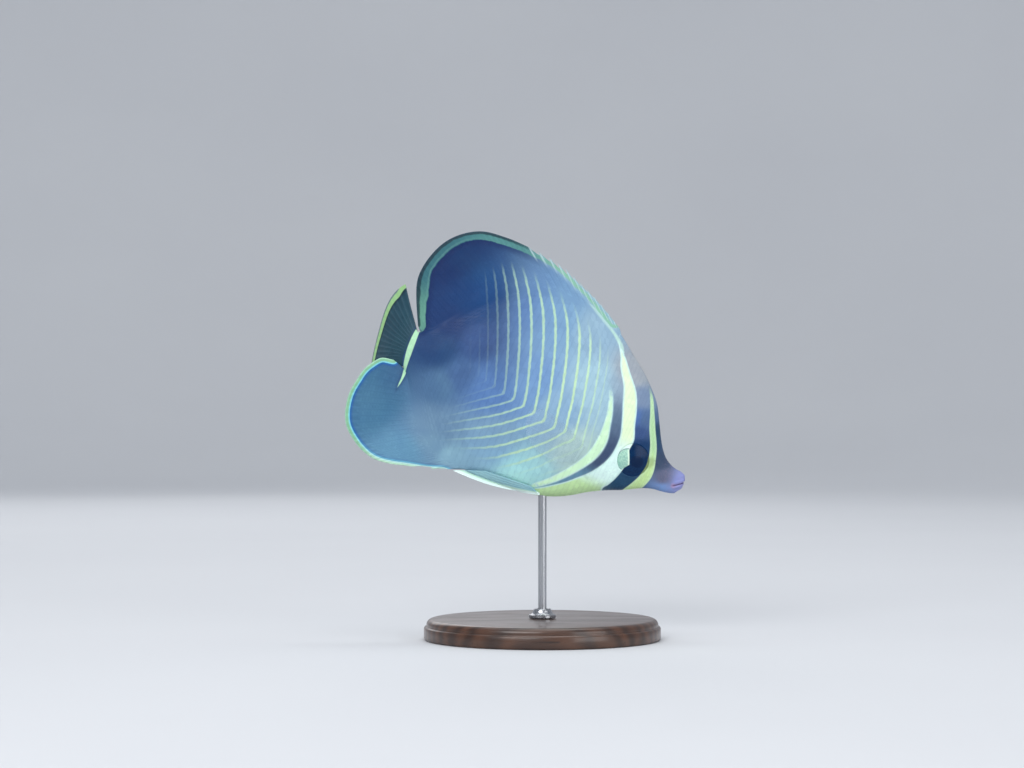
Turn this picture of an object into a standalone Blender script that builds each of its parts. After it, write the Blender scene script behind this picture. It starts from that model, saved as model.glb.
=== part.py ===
"""A triangle butterflyfish, life size, as a still museum model on a plain stand.

The fish is worked out in its own frame, in millimetres: +x to the snout, +z to the
back, +y to its left side, with the nose at rest on no tilt. An empty then pitches it
nose down and lifts it onto the rod of the stand. The origin is the centre of the
underside of the stand's base.
"""

import math

import bmesh
import bpy
import numpy as np

MM = 0.001

# ---------------------------------------------------------------- driving sizes, mm
GAP = 0.3  # left between neighbouring solids
PITCH = math.radians(24.0)  # nose down
LIFT = 85.9  # fish frame's origin above the floor
SHIFT = 0.9  # and forward of the rod

SNOUT_TIP = 59.2  # station of the lips' front
MOUTH_LINE = -4.6  # height of the slit between the jaws
JAW_ROOT = 50.0  # station where the jaws meet the head
HEAD_REAR = 20.4  # station behind the gill covers
TAIL_ROOT = -50.0  # station where the trunk ends
FAN_ROOT = -57.0  # station where the tail fan begins
SECTION = 2.2  # power of the flank's curve, 2 is an ellipse

EYE = (37.7, -2.6)  # station and height of the eye's centre
EYE_RADIUS = 6.15
EYE_BULGE = 1.05  # cornea's crown outside the cheek
EYE_RIM = 0.55  # eye's edge inside the cheek
EYE_DEPTH = 4.4
EYE_TURN = math.radians(11.0)  # looks a little forward

FIN_EDGE = 0.27  # half thickness at a fin's margin
SPINE_HALF = 0.52  # half thickness along a dorsal spine
SPINES = 12
DORSAL_RAYS = 38  # spines and rays together
ANAL_SPINES = 3
ANAL_RAYS = 26

BEND_START = -44.0  # the tail is swept to the fish's left from here
BEND_LENGTH = 30.0
BEND_ANGLE = math.radians(56.0)
BEND_TWIST = 0.25  # lower part of the fan sweeps further

BASE_RADIUS = 45.0
BASE_HEIGHT = 8.0
ROD_RADIUS = 1.6
ROD_SINK = 9.0  # how far the rod goes into the belly
SOCKET_DEPTH = 5.0


# ---------------------------------------------------------------- profiles
def through(*landmarks):
    """A smooth curve through (station, value) landmarks."""
    xs, ys = (np.array(v, float) for v in zip(*sorted(landmarks)))
    h = np.diff(xs)
    d = np.diff(ys) / h
    m = np.concatenate(
        [d[:1], (d[:-1] * h[1:] + d[1:] * h[:-1]) / (h[1:] + h[:-1]), d[-1:]]
    )

    def value(x):
        x = np.clip(np.asarray(x, float), xs[0], xs[-1])
        k = np.clip(np.searchsorted(xs, x, side="right") - 1, 0, len(xs) - 2)
        t = (x - xs[k]) / h[k]
        return (
            (1 + 2 * t) * (1 - t) ** 2 * ys[k]
            + t * (1 - t) ** 2 * h[k] * m[k]
            + t * t * (3 - 2 * t) * ys[k + 1]
            + t * t * (t - 1) * h[k] * m[k + 1]
        )

    return value


# Top of the flesh: lip, snout, steep forehead, nape, back under the fin, tail root.
BACK = through(
    (59.4, -2.2), (58.6, -0.4), (57.0, 0.6), (54.0, 1.0), (51.3, 1.85), (49.2, 3.1),
    (47.2, 5.1), (45.0, 8.1), (41.8, 13.6), (38.0, 20.0), (33.2, 25.2), (28.5, 29.3),
    (22.8, 33.3), (18.0, 36.7), (13.3, 39.7), (6.0, 42.2), (-4.0, 43.6),
    (-16.0, 43.0), (-28.0, 38.8), (-38.0, 30.8), (-46.0, 20.2), (-52.0, 12.0),
    (-56.0, 8.9), (-60.0, 8.2),
)
# Underside: lower lip, chin, breast, belly, base of the anal fin, tail root.
BELLY = through(
    (59.4, -5.4), (58.6, -6.9), (56.5, -8.1), (53.0, -9.0), (49.4, -9.5),
    (46.5, -10.4), (43.0, -12.2), (39.0, -14.5), (33.0, -17.3), (27.5, -20.4),
    (20.9, -24.9), (14.2, -28.2), (8.0, -30.1), (0.0, -31.1), (-10.0, -31.7),
    (-20.0, -31.7), (-28.0, -30.3), (-36.0, -26.6), (-44.0, -20.0), (-50.0, -12.8),
    (-54.0, -7.6), (-57.0, -5.6), (-60.0, -5.2),
)
# Height at which a section is widest, and its half width there.
WIDEST = through(
    (60, -3.9), (50, -3.8), (38, -2.6), (26, -4.5), (12, -4.0), (-5, 0.0),
    (-30, 4.0), (-48, 2.6), (-57, 1.5), (-60, 1.5),
)
WIDTH = through(
    (59.4, 1.0), (58.8, 2.0), (57.5, 2.75), (55.0, 3.0), (51.5, 3.15), (48.0, 3.8),
    (43.0, 5.1), (37.7, 6.4), (31.0, 7.7), (24.0, 8.9), (17.0, 9.5), (8.0, 9.6),
    (-4.0, 8.9), (-16.0, 7.5), (-28.0, 5.8), (-40.0, 4.1), (-50.0, 2.9),
    (-57.0, 2.1), (-60.0, 1.7),
)
# Half thickness of the ridge that carries a fin, and how round the ridge is.
BACK_EDGE = through((60, 0.15), (20, 0.3), (12, 1.1), (0, 1.5), (-30, 1.4), (-54, 0.9), (-58, 0.5))
BELLY_EDGE = through((60, 0.15), (20, 0.3), (-14, 0.4), (-22, 1.2), (-40, 1.3), (-54, 0.9), (-58, 0.5))
BACK_ROUND = through((60, 0.5), (24, 0.56), (12, 0.8), (2, 1.12), (-48, 1.12), (-58, 0.6))
BELLY_ROUND = through((60, 0.5), (0, 0.56), (-14, 0.7), (-24, 1.12), (-48, 1.1), (-58, 0.6))

# Fins: at this spine or ray, the station of its base and the place of its tip.
DORSAL = (
    (0, 14.4, 13.2, 40.9), (2, 10.0, 6.0, 44.9), (4, 5.6, -1.4, 48.5),
    (6, 0.8, -8.3, 51.1), (8, -4.2, -15.2, 53.6), (10, -9.4, -22.6, 54.9),
    (12, -14.8, -31.0, 55.2), (16, -22.0, -41.5, 55.0), (20, -28.4, -50.4, 53.3),
    (24, -34.2, -58.0, 48.0), (28, -39.6, -62.9, 40.4), (31, -44.0, -64.9, 32.4),
    (34, -48.4, -64.4, 25.0), (36, -51.6, -61.8, 18.8), (38, -55.4, -57.8, 11.0),
)
ANAL = (
    (0, -19.0, -20.5, -32.3), (1, -21.0, -25.4, -34.6), (2, -23.4, -31.0, -36.9),
    (3, -26.2, -37.8, -38.9), (6, -30.4, -45.6, -41.3), (10, -35.4, -54.4, -41.9),
    (13, -39.2, -61.4, -39.2), (16, -42.8, -67.5, -34.1), (19, -46.2, -70.5, -26.3),
    (22, -49.8, -70.5, -18.0), (24, -52.2, -68.6, -10.4), (25, -53.8, -65.5, -6.0),
    (26, -55.3, -61.0, -4.8),
)
FAN_TOP, FAN_BOTTOM = 23.4, -18.2  # corners of the tail fan
FAN_REAR, FAN_CORNER = -77.4, 6.8  # hind margin, and how far the corners stand in


def half_width(x, z):
    """Half the body's thickness at a station and height, to the ridge that ends it."""
    top, low, mid = BACK(x), BELLY(x), WIDEST(x)
    up = z >= mid
    v = np.clip(np.where(up, (z - mid) / (top - mid), (z - mid) / (low - mid)), 0, 1)
    edge = np.where(up, BACK_EDGE(x), BELLY_EDGE(x))
    power = np.where(up, BACK_ROUND(x), BELLY_ROUND(x))
    return edge + (WIDTH(x) - edge) * (1 - v**SECTION) ** power


def sweep(s, z=1.5, steps=32):
    """Where the tail's midline has gone at s mm behind the start of the bend."""
    s = np.maximum(np.asarray(s, float), 0.0)
    z = np.broadcast_to(np.asarray(z, float), s.shape)
    k = 1 - BEND_TWIST * (z - 1.5) / 20

    def angle(d):
        return k * BEND_ANGLE * (1 - np.cos(math.pi * np.minimum(d / BEND_LENGTH, 1))) / 2

    cx = np.zeros(s.shape)
    cy = np.zeros(s.shape)
    for j in range(steps):
        a = angle(s * (j + 0.5) / steps)
        cx -= np.cos(a) * s / steps
        cy += np.sin(a) * s / steps
    return BEND_START + cx, cy, angle(s)


def bend(x, y, z):
    """Moves body points from the straight fish to the swept one."""
    x, y, z = (np.asarray(v, float) for v in (x, y, z))
    s = BEND_START - x
    cx, cy, a = sweep(s, z)
    straight = s <= 0
    return np.stack(
        [
            np.where(straight, x, cx + y * np.sin(a)),
            np.where(straight, y, cy + y * np.cos(a)),
            z + 0 * x,
        ],
        axis=-1,
    )


# ---------------------------------------------------------------- mesh helpers
bpy.context.view_layer.update()
for old in list(bpy.data.objects):
    bpy.data.objects.remove(old, do_unlink=True)

model = bpy.data.collections.new("butterflyfish_on_stand")
helpers = bpy.data.collections.new("cutters")
helpers.hide_render = True
for group in (model, helpers):
    bpy.context.scene.collection.children.link(group)

pose = bpy.data.objects.new("fish_pose", None)
pose.rotation_euler = (0.0, PITCH, 0.0)
pose.location = (SHIFT * MM, 0.0, LIFT * MM)
model.objects.link(pose)


def material(name, colour, roughness, metallic=0.0):
    made = bpy.data.materials.new(name)
    made.use_nodes = True
    shader = made.node_tree.nodes["Principled BSDF"]
    shader.inputs["Base Color"].default_value = (*colour, 1.0)
    shader.inputs["Roughness"].default_value = roughness
    shader.inputs["Metallic"].default_value = metallic
    return made


def add(name, mesh, look=None, parent=None, cutter=False):
    made = bpy.data.objects.new(name, mesh)
    (helpers if cutter else model).objects.link(made)
    if cutter:
        made.hide_render = True
        made.display_type = "WIRE"
    else:
        mesh.materials.append(look)
    if parent:
        made.parent = parent
    return made


def from_faces(name, points, faces):
    """A closed mesh from points in mm, its faces turned outward."""
    mesh = bpy.data.meshes.new(name)
    mesh.from_pydata([tuple(float(c) * MM for c in p) for p in points], [], faces)
    work = bmesh.new()
    work.from_mesh(mesh)
    bmesh.ops.recalc_face_normals(work, faces=work.faces)
    work.to_mesh(mesh)
    work.free()
    mesh.shade_smooth()
    return mesh


def loft(name, rings):
    """Joins closed rings of equal count and caps both ends with strips across."""
    count = len(rings[0])
    points = [p for ring in rings for p in ring]
    faces = []
    for k in range(len(rings) - 1):
        for i in range(count):
            j = (i + 1) % count
            faces.append((k * count + i, k * count + j, (k + 1) * count + j, (k + 1) * count + i))
    for first in (0, (len(rings) - 1) * count):
        for i in range(count // 2 - 1):
            faces.append((first + i, first + i + 1, first + count - 2 - i, first + count - 1 - i))
    return from_faces(name, points, faces)


def plate(name, right, left):
    """A thin closed solid between two grids of the same shape, right and left."""
    rows, cols = right.shape[:2]
    points = list(right.reshape(-1, 3)) + list(left.reshape(-1, 3))
    n = rows * cols
    faces = []
    for i in range(rows - 1):
        for j in range(cols - 1):
            a, b, c, d = i * cols + j, i * cols + j + 1, (i + 1) * cols + j + 1, (i + 1) * cols + j
            faces.append((a, b, c, d))
            faces.append((n + d, n + c, n + b, n + a))
    rim = [(0, j) for j in range(cols)] + [(i, cols - 1) for i in range(1, rows)]
    rim += [(rows - 1, j) for j in range(cols - 2, -1, -1)] + [(i, 0) for i in range(rows - 2, 0, -1)]
    rim = [i * cols + j for i, j in rim]
    for a, b in zip(rim, rim[1:] + rim[:1]):
        faces.append((a, b, n + b, n + a))
    return from_faces(name, points, faces)


def cut(target, cutter, operation="DIFFERENCE"):
    modifier = target.modifiers.new(operation.lower() + "_" + cutter.name, "BOOLEAN")
    modifier.operation = operation
    modifier.solver = "EXACT"
    modifier.object = cutter


# ---------------------------------------------------------------- looks
FLANK = material("flank", (0.16, 0.22, 0.52), 0.38)
HEAD = material("head", (0.50, 0.55, 0.30), 0.38)
LIPS = material("lips", (0.36, 0.28, 0.45), 0.42)
COVER = material("gill_cover", (0.55, 0.62, 0.42), 0.36)
EYES = material("eye", (0.01, 0.012, 0.02), 0.12)
FINS = material("fin", (0.20, 0.30, 0.48), 0.42)
CLEAR_FINS = material("clear_fin", (0.55, 0.70, 0.75), 0.35)
WHITE_FINS = material("pelvic_fin", (0.62, 0.85, 0.80), 0.40)
WOOD = material("base_wood", (0.035, 0.022, 0.016), 0.35)
STEEL = material("rod_steel", (0.55, 0.56, 0.58), 0.28, 1.0)

# ---------------------------------------------------------------- body
HALF_LEVELS = 7  # points from the widest height to a ridge


def side_heights(x, low=None, high=None):
    """Heights of a section's points, closer together towards its ridges."""
    top, bottom, mid = BACK(x), BELLY(x), WIDEST(x)
    steps = [math.sin(math.pi / 2 * k / HALF_LEVELS) for k in range(HALF_LEVELS + 1)]
    up = [mid + (top - mid) * v for v in steps]
    down = [mid + (bottom - mid) * v for v in steps[1:]]
    return sorted(float(h) for h in up + down)


def ring(x, heights):
    """One section: up the right side, then down the left."""
    heights = np.array(heights)
    w = half_width(np.full(len(heights), float(x)), heights)
    right = bend(np.full(len(heights), float(x)), -w, heights)
    left = bend(np.full(len(heights), float(x)), w, heights)
    return list(right) + list(left[::-1])


def body_piece(name, rear, front, count, look):
    stations = np.linspace(rear, front, count)
    rings = [ring(x, side_heights(x)) for x in stations]
    return add(name, loft(name, rings), look, pose)


trunk = body_piece("trunk", TAIL_ROOT + GAP / 2, HEAD_REAR - GAP / 2, 21, FLANK)
tail_base = body_piece("tail_base", FAN_ROOT + GAP / 2, TAIL_ROOT - GAP / 2, 5, FLANK)
head = body_piece("head", HEAD_REAR + GAP / 2, JAW_ROOT - GAP / 2, 13, HEAD)


def jaw(name, upper):
    """Half of the snout, above or below the slit of the mouth, with a full lip."""
    rings = []
    for x in [*np.linspace(JAW_ROOT + GAP / 2, 57.6, 5), 58.5, 59.0, SNOUT_TIP + 0.15]:
        end = float(BACK(x) if upper else BELLY(x))
        start = MOUTH_LINE + (GAP / 2 if upper else -GAP / 2)
        heights = [start + (end - start) * math.sin(math.pi / 2 * k / 6) for k in range(7)]
        rings.append(ring(x, sorted(heights)))
    return add(name, loft(name, rings), LIPS, pose)


upper_jaw = jaw("upper_jaw", True)
lower_jaw = jaw("lower_jaw", False)


# ---------------------------------------------------------------- eyes and gill covers
def turned(name, profile, steps):
    """A turned solid about local z, from (radius, height) points, outer side first."""
    mesh = bpy.data.meshes.new(name)
    points = [(r * MM, 0.0, h * MM) for r, h in profile]
    mesh.from_pydata(points, [(i, i + 1) for i in range(len(points) - 1)], [])
    made = bpy.data.objects.new(name + "_profile", mesh)
    helpers.objects.link(made)
    screw = made.modifiers.new("turn", "SCREW")
    screw.axis = "Z"
    screw.angle = 2 * math.pi
    screw.steps = screw.render_steps = steps
    screw.use_merge_vertices = True
    screw.merge_threshold = 1e-6
    bpy.context.view_layer.update()
    solid = bpy.data.meshes.new_from_object(
        made.evaluated_get(bpy.context.evaluated_depsgraph_get())
    )
    bpy.data.objects.remove(made, do_unlink=True)
    solid.name = name
    work = bmesh.new()
    work.from_mesh(solid)
    bmesh.ops.remove_doubles(work, verts=work.verts, dist=1e-7)
    bmesh.ops.recalc_face_normals(work, faces=work.faces)
    work.to_mesh(solid)
    work.free()
    solid.shade_smooth()
    return solid


def eye_profile(grow, crown):
    """Cornea's low dome, a narrow edge and a bowl behind, as (radius, height)."""
    radius = EYE_RADIUS + grow
    dome = [
        (radius * math.sin(math.pi / 2 * k / 6), -EYE_RIM + (crown + EYE_RIM) * math.cos(math.pi / 2 * k / 6) ** 1.3)
        for k in range(7)
    ]
    bowl = [
        (radius * math.cos(math.pi / 2 * k / 5), -EYE_RIM - 0.25 - (EYE_DEPTH + grow - EYE_RIM) * math.sin(math.pi / 2 * k / 5))
        for k in range(6)
    ]
    points = dome[:-1] + [(radius, -EYE_RIM)] + bowl
    points[0] = (0.0, points[0][1])
    points[-1] = (0.0, points[-1][1])
    return points


def place_eye(made, side):
    """Sets an eye, or the cutter of its socket, on the cheek, facing out and forward."""
    cheek = float(half_width(EYE[0], EYE[1]))
    made.location = (EYE[0] * MM, side * cheek * MM, EYE[1] * MM)
    made.rotation_euler = (-side * math.pi / 2, 0.0, 0.0)
    made.rotation_mode = "XYZ"
    made.rotation_euler[2] = -side * EYE_TURN
    made.parent = pose


COVER_CENTRE = (26.2, -5.4)
COVER_HALF = (4.7, 10.6)
COVER_LEAN = math.radians(-6.0)
COVER_BACK = 5.2  # the inner face, from the mid plane


def cover_prism(name, grow, side):
    """The gill cover's outline, a leaning superellipse, drawn out from the mid plane."""
    outline = []
    count = 26
    for k in range(count):
        a = 2 * math.pi * k / count
        x = (COVER_HALF[0] + grow) * math.copysign(abs(math.cos(a)) ** 0.8, math.cos(a))
        z = (COVER_HALF[1] + grow) * math.copysign(abs(math.sin(a)) ** 0.8, math.sin(a))
        outline.append(
            (
                COVER_CENTRE[0] + x * math.cos(COVER_LEAN) - z * math.sin(COVER_LEAN),
                COVER_CENTRE[1] + x * math.sin(COVER_LEAN) + z * math.cos(COVER_LEAN),
            )
        )
    near, far = side * (COVER_BACK - grow), side * 14.0
    points = [(x, near, z) for x, z in outline] + [(x, far, z) for x, z in outline]
    faces = [(k, (k + 1) % count, count + (k + 1) % count, count + k) for k in range(count)]
    faces += [tuple(range(count)), tuple(range(2 * count - 1, count - 1, -1))]
    return add(name, from_faces(name, points, faces), cutter=True, parent=pose)


for side, word in ((-1, "right"), (1, "left")):
    eye = add("eye_" + word, turned("eye_" + word, eye_profile(0.0, EYE_BULGE), 20), EYES)
    place_eye(eye, side)
    socket = add("socket_" + word, turned("socket_" + word, eye_profile(GAP, 4.0), 20), cutter=True)
    place_eye(socket, side)
    whole = add("cover_blank_" + word, loft("cover_blank_" + word, [ring(x, side_heights(x)) for x in np.linspace(HEAD_REAR + GAP / 2, JAW_ROOT - GAP / 2, 13)]), cutter=True, parent=pose)
    cover = add("gill_cover_" + word, cover_prism("cover_outline_" + word, 0.0, side).data.copy(), COVER, pose)
    cut(cover, whole, "INTERSECT")
    cut(head, socket)
    cut(head, cover_prism("cover_recess_" + word, GAP, side))


# ---------------------------------------------------------------- median fins
def rays(table):
    """Smooth functions of the ray's number: its base's station and its tip."""
    return tuple(through(*((row[0], row[c]) for row in table)) for c in (1, 2, 3))


def fin_points(number, v, table, contour, edge, turn, sway):
    """Middle, half thickness and facing of a median fin at ray number and 0..1 out."""
    base_x, tip_x, tip_z = (f(number) for f in rays(table))
    slope = (contour(base_x + 0.5) - contour(base_x - 0.5)) / 1.0
    clear = (GAP + 0.1) * (1 if contour is BACK else -1) / np.hypot(1, slope)
    base_z = contour(base_x) + clear
    foot_x = base_x - slope * clear
    reach = np.hypot(tip_x - foot_x, tip_z - base_z)
    root = bend(foot_x, 0 * base_x, base_z)
    a = turn * sweep(BEND_START - base_x)[2]
    dx = (tip_x - foot_x) * v
    out = reach * v
    y = sway * (out / 22.0) ** 2
    middle = np.stack(
        [root[..., 0] + dx * np.cos(a), root[..., 1] - dx * np.sin(a) + y, base_z + (tip_z - base_z) * v],
        axis=-1,
    )
    ridge = np.maximum(edge(base_x), FIN_EDGE)
    half = FIN_EDGE + (ridge - FIN_EDGE) * (1 - v) ** 1.5
    facing = np.stack([np.sin(a), np.cos(a), 0 * a], axis=-1)
    return middle, half, facing


def fin(name, numbers, rows, reach, extra, table, contour, edge, turn, sway):
    """A median fin's solid, one column for each number."""
    n, v = np.meshgrid(np.array(numbers, float), np.linspace(0, 1, rows), indexing="ij")
    v = v * np.array(reach)[:, None]
    middle, half, facing = fin_points(n, v, table, contour, edge, turn, sway)
    half = np.maximum(half, np.array(extra)[:, None] * (1 - 0.45 * v))
    right = middle - facing * half[..., None]
    left = middle + facing * half[..., None]
    return add(name, plate(name, right, left), FINS, pose)


# Spiny part: behind each spine's tip the membrane is notched, then rises to the next.
numbers, reach, extra = [0.0], [1.0], [FIN_EDGE]
for spine in range(1, SPINES + 1):
    for back, length, thick in ((-0.35, 0.93, 0), (-0.09, 0.985, 0), (0.0, 1.0, 1), (0.10, 0.88, 0)):
        if spine == SPINES and back > 0:
            continue
        numbers.append(spine + back)
        reach.append(length if spine < SPINES or back <= 0 else 1.0)
        extra.append(SPINE_HALF if thick else FIN_EDGE)
fin("dorsal_fin_spiny", numbers, 4, reach, extra, DORSAL, BACK, BACK_EDGE, 0.35, 0.3)
soft = np.linspace(SPINES + 0.16, DORSAL_RAYS, 25)
fin("dorsal_fin_soft", soft, 7, [1.0] * 25, [FIN_EDGE] * 25, DORSAL, BACK, BACK_EDGE, 0.35, 0.3)

numbers, reach, extra = [0.0], [1.0], [FIN_EDGE]
for spine in range(1, ANAL_SPINES + 1):
    for back, length, thick in ((-0.4, 0.9, 0), (0.0, 1.0, 1), (0.14, 0.9, 0)):
        numbers.append(spine + back)
        reach.append(length)
        extra.append(SPINE_HALF if thick else FIN_EDGE)
soft = np.linspace(ANAL_SPINES + 0.8, ANAL_RAYS, 22)
numbers += list(soft)
reach += [1.0] * 22
extra += [FIN_EDGE] * 22
fin("anal_fin", numbers, 7, reach, extra, ANAL, BELLY, BELLY_EDGE, -0.7, -1.2)

# ---------------------------------------------------------------- tail fan
across, along = np.meshgrid(np.linspace(-1, 1, 15), np.linspace(0, 1, 9), indexing="ij")
mid = (FAN_TOP + FAN_BOTTOM) / 2
tip_z = mid + (FAN_TOP - FAN_BOTTOM) / 2 * across
tip_x = FAN_REAR + FAN_CORNER * np.abs(across) ** 3.5
root_x = FAN_ROOT - GAP / 2
root_z = (BACK(root_x) + BELLY(root_x)) / 2 + (BACK(root_x) - BELLY(root_x)) / 2 * across
fan_x = root_x + (tip_x - root_x) * along
fan_z = root_z + (tip_z - root_z) * along
body = half_width(np.full(fan_x.shape, root_x), root_z)
half = FIN_EDGE + np.maximum(body - FIN_EDGE, 0.1) * (1 - along) ** 1.9
half = np.maximum(half, FIN_EDGE)
add("caudal_fin", plate("caudal_fin", bend(fan_x, -half, fan_z), bend(fan_x, half, fan_z)), FINS, pose)

# ---------------------------------------------------------------- paired fins
PECTORAL_ROOT = ((19.0, -5.2), (17.8, -12.2))  # upper and lower end of the base
PECTORAL_REACH = 25.0
PECTORAL_OUT = math.radians(10.0)  # held off the flank


def pectoral(name, side):
    """A fan of rays folded back along the flank, clear of it."""
    u, v = np.meshgrid(np.linspace(0, 1, 11), np.linspace(0, 1, 7), indexing="ij")
    (x0, z0), (x1, z1) = PECTORAL_ROOT
    bx, bz = x0 + (x1 - x0) * u, z0 + (z1 - z0) * u
    lean = np.radians(24.0 - 46.0 * u)
    long = PECTORAL_REACH * (0.62 + 0.38 * np.sin(math.pi * (0.18 + 0.82 * u) ** 0.75) - 0.16 * u)
    x = bx - long * v * np.cos(lean)
    z = bz + long * v * np.sin(lean)
    foot = half_width(bx, bz) + GAP + 0.55
    y = foot + long * v * math.tan(PECTORAL_OUT) * (0.55 + 0.45 * v) - 0.25 * np.sin(math.pi * v)
    thick = 0.30 + 0.45 * (1 - v) ** 2
    middle = np.stack([x, side * y, z], axis=-1)
    out = np.array([0.22, side, 0.0]) / math.hypot(0.22, 1)
    return add(name, plate(name, middle - out * thick[..., None], middle + out * thick[..., None]), CLEAR_FINS, pose)


PELVIC_ROOT = (10.6, 6.4)  # front and rear station of the base
PELVIC_TIP = (-23.0, -34.0)


def pelvic(name, side):
    """A pointed fin folded back against the belly, its spine along the lower edge."""
    u, v = np.meshgrid(np.linspace(0, 1, 6), np.linspace(0, 1, 12), indexing="ij")
    bx = PELVIC_ROOT[0] + (PELVIC_ROOT[1] - PELVIC_ROOT[0]) * u
    bz = BELLY(bx) + 0.8 + 2.3 * u
    tx = PELVIC_TIP[0] + 11.5 * u**1.2
    tz = PELVIC_TIP[1] + 5.0 * u**1.1
    x = bx + (tx - bx) * v
    z = bz + (tz - bz) * v - 1.7 * np.sin(math.pi * v) * (1 - u)
    skin = np.where(z > BELLY(x), half_width(x, np.maximum(z, BELLY(x) + 0.02)), 0.0)
    y = 1.15 + skin * 0.97 + 0.25
    y = np.maximum(y, skin + GAP + 0.38)
    thick = 0.28 + 0.22 * (1 - v) * (1 - u)
    middle = np.stack([x, side * y, z], axis=-1)
    out = np.zeros(middle.shape)
    out[..., 1] = side
    return add(name, plate(name, middle - out * thick[..., None], middle + out * thick[..., None]), WHITE_FINS, pose)


for side, word in ((-1, "right"), (1, "left")):
    pectoral("pectoral_fin_" + word, side)
    pelvic("pelvic_fin_" + word, side)


# ---------------------------------------------------------------- stand
def cylinder(name, radius, low, high, sides, look=None, cutter=False, bevel=0.0):
    """An upright cylinder on the world's z axis, from a primitive."""
    bpy.ops.mesh.primitive_cylinder_add(vertices=sides, radius=radius * MM, depth=(high - low) * MM)
    made = bpy.context.object
    mesh = made.data
    bpy.data.objects.remove(made, do_unlink=True)
    mesh.name = name
    mesh.shade_smooth()
    mesh.set_sharp_from_angle(angle=math.radians(40))
    made = add(name, mesh, look, cutter=cutter)
    made.location = (0.0, 0.0, (low + high) / 2 * MM)
    if bevel:
        edge = made.modifiers.new("edge", "BEVEL")
        edge.width = bevel * MM
        edge.segments = 2
        edge.limit_method = "ANGLE"
    return made


# The belly's height over the rod: the rod stands at the world's x = 0.
def belly_over_rod():
    low, high = 0.0, 30.0
    for _ in range(40):
        x = (low + high) / 2
        forward = SHIFT + x * math.cos(PITCH) + float(BELLY(x)) * math.sin(PITCH)
        low, high = (x, high) if forward < 0 else (low, x)
    return LIFT - x * math.sin(PITCH) + float(BELLY(x)) * math.cos(PITCH)


BELLY_HEIGHT = belly_over_rod()
ROD_TOP = BELLY_HEIGHT + ROD_SINK
base = cylinder("stand_base", BASE_RADIUS, 0.0, BASE_HEIGHT, 48, WOOD, bevel=1.6)
hole = cylinder("base_hole", ROD_RADIUS + GAP, BASE_HEIGHT - SOCKET_DEPTH, BASE_HEIGHT + 5, 20, cutter=True)
cut(base, hole)
rod = cylinder("stand_rod", ROD_RADIUS, BASE_HEIGHT - SOCKET_DEPTH + GAP, ROD_TOP, 20, STEEL)
well = cylinder("belly_hole", ROD_RADIUS + GAP, BELLY_HEIGHT - 12, ROD_TOP + GAP, 20, cutter=True)
cut(trunk, well)

collar_low = BASE_HEIGHT + GAP
collar = add(
    "stand_collar",
    turned(
        "stand_collar",
        [(5.2, collar_low + 1.4), (5.2, collar_low), (ROD_RADIUS + GAP, collar_low),
         (ROD_RADIUS + GAP, collar_low + 3.4), (3.1, collar_low + 3.4), (3.6, collar_low + 2.6), (5.2, collar_low + 1.4)],
        24,
    ),
    STEEL,
)
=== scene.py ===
import math

import bpy
import numpy as np
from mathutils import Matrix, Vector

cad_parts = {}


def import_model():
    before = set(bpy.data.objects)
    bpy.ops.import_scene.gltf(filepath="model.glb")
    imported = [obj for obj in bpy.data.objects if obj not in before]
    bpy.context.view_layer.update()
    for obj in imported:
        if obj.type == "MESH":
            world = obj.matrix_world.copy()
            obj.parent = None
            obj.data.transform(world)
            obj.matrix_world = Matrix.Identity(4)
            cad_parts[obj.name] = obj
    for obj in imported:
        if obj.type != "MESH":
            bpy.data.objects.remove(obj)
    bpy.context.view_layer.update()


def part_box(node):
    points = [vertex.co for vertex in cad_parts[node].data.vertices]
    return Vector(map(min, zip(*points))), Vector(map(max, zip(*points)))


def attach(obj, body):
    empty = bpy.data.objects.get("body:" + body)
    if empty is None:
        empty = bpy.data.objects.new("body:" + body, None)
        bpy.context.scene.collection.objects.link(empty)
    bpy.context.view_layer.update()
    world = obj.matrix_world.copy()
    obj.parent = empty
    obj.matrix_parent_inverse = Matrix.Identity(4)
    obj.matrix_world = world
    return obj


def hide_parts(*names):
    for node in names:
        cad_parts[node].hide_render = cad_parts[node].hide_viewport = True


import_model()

rng = np.random.default_rng(7)
MM = 0.001

# ---------------------------------------------------------------- the fish's shape
# The same frame and curves as the solids: x to the snout, z to the back, y to its left.
PITCH = math.radians(24.0)
LIFT, SHIFT = 85.9, 0.9
MOUTH_LINE = -4.6
FAN_ROOT = -57.0
SECTION = 2.2
EYE = (37.7, -2.6)
EYE_RADIUS = 6.15
EYE_TURN = math.radians(11.0)
FIN_EDGE = 0.27
SPINES, DORSAL_RAYS, ANAL_SPINES, ANAL_RAYS = 12, 38, 3, 26
BEND_START, BEND_LENGTH, BEND_ANGLE, BEND_TWIST = -44.0, 30.0, math.radians(56.0), 0.25
COAT = 0.15  # the skin lies this far inside the solids, for the scales


def through(*landmarks):
    """A smooth curve through (station, value) landmarks."""
    xs, ys = (np.array(v, float) for v in zip(*sorted(landmarks)))
    h = np.diff(xs)
    d = np.diff(ys) / h
    m = np.concatenate(
        [d[:1], (d[:-1] * h[1:] + d[1:] * h[:-1]) / (h[1:] + h[:-1]), d[-1:]]
    )

    def value(x):
        x = np.clip(np.asarray(x, float), xs[0], xs[-1])
        k = np.clip(np.searchsorted(xs, x, side="right") - 1, 0, len(xs) - 2)
        t = (x - xs[k]) / h[k]
        return (
            (1 + 2 * t) * (1 - t) ** 2 * ys[k]
            + t * (1 - t) ** 2 * h[k] * m[k]
            + t * t * (3 - 2 * t) * ys[k + 1]
            + t * t * (t - 1) * h[k] * m[k + 1]
        )

    return value


def smooth(a, b, x):
    t = np.clip((np.asarray(x, float) - a) / (b - a), 0, 1)
    return t * t * (3 - 2 * t)


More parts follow.
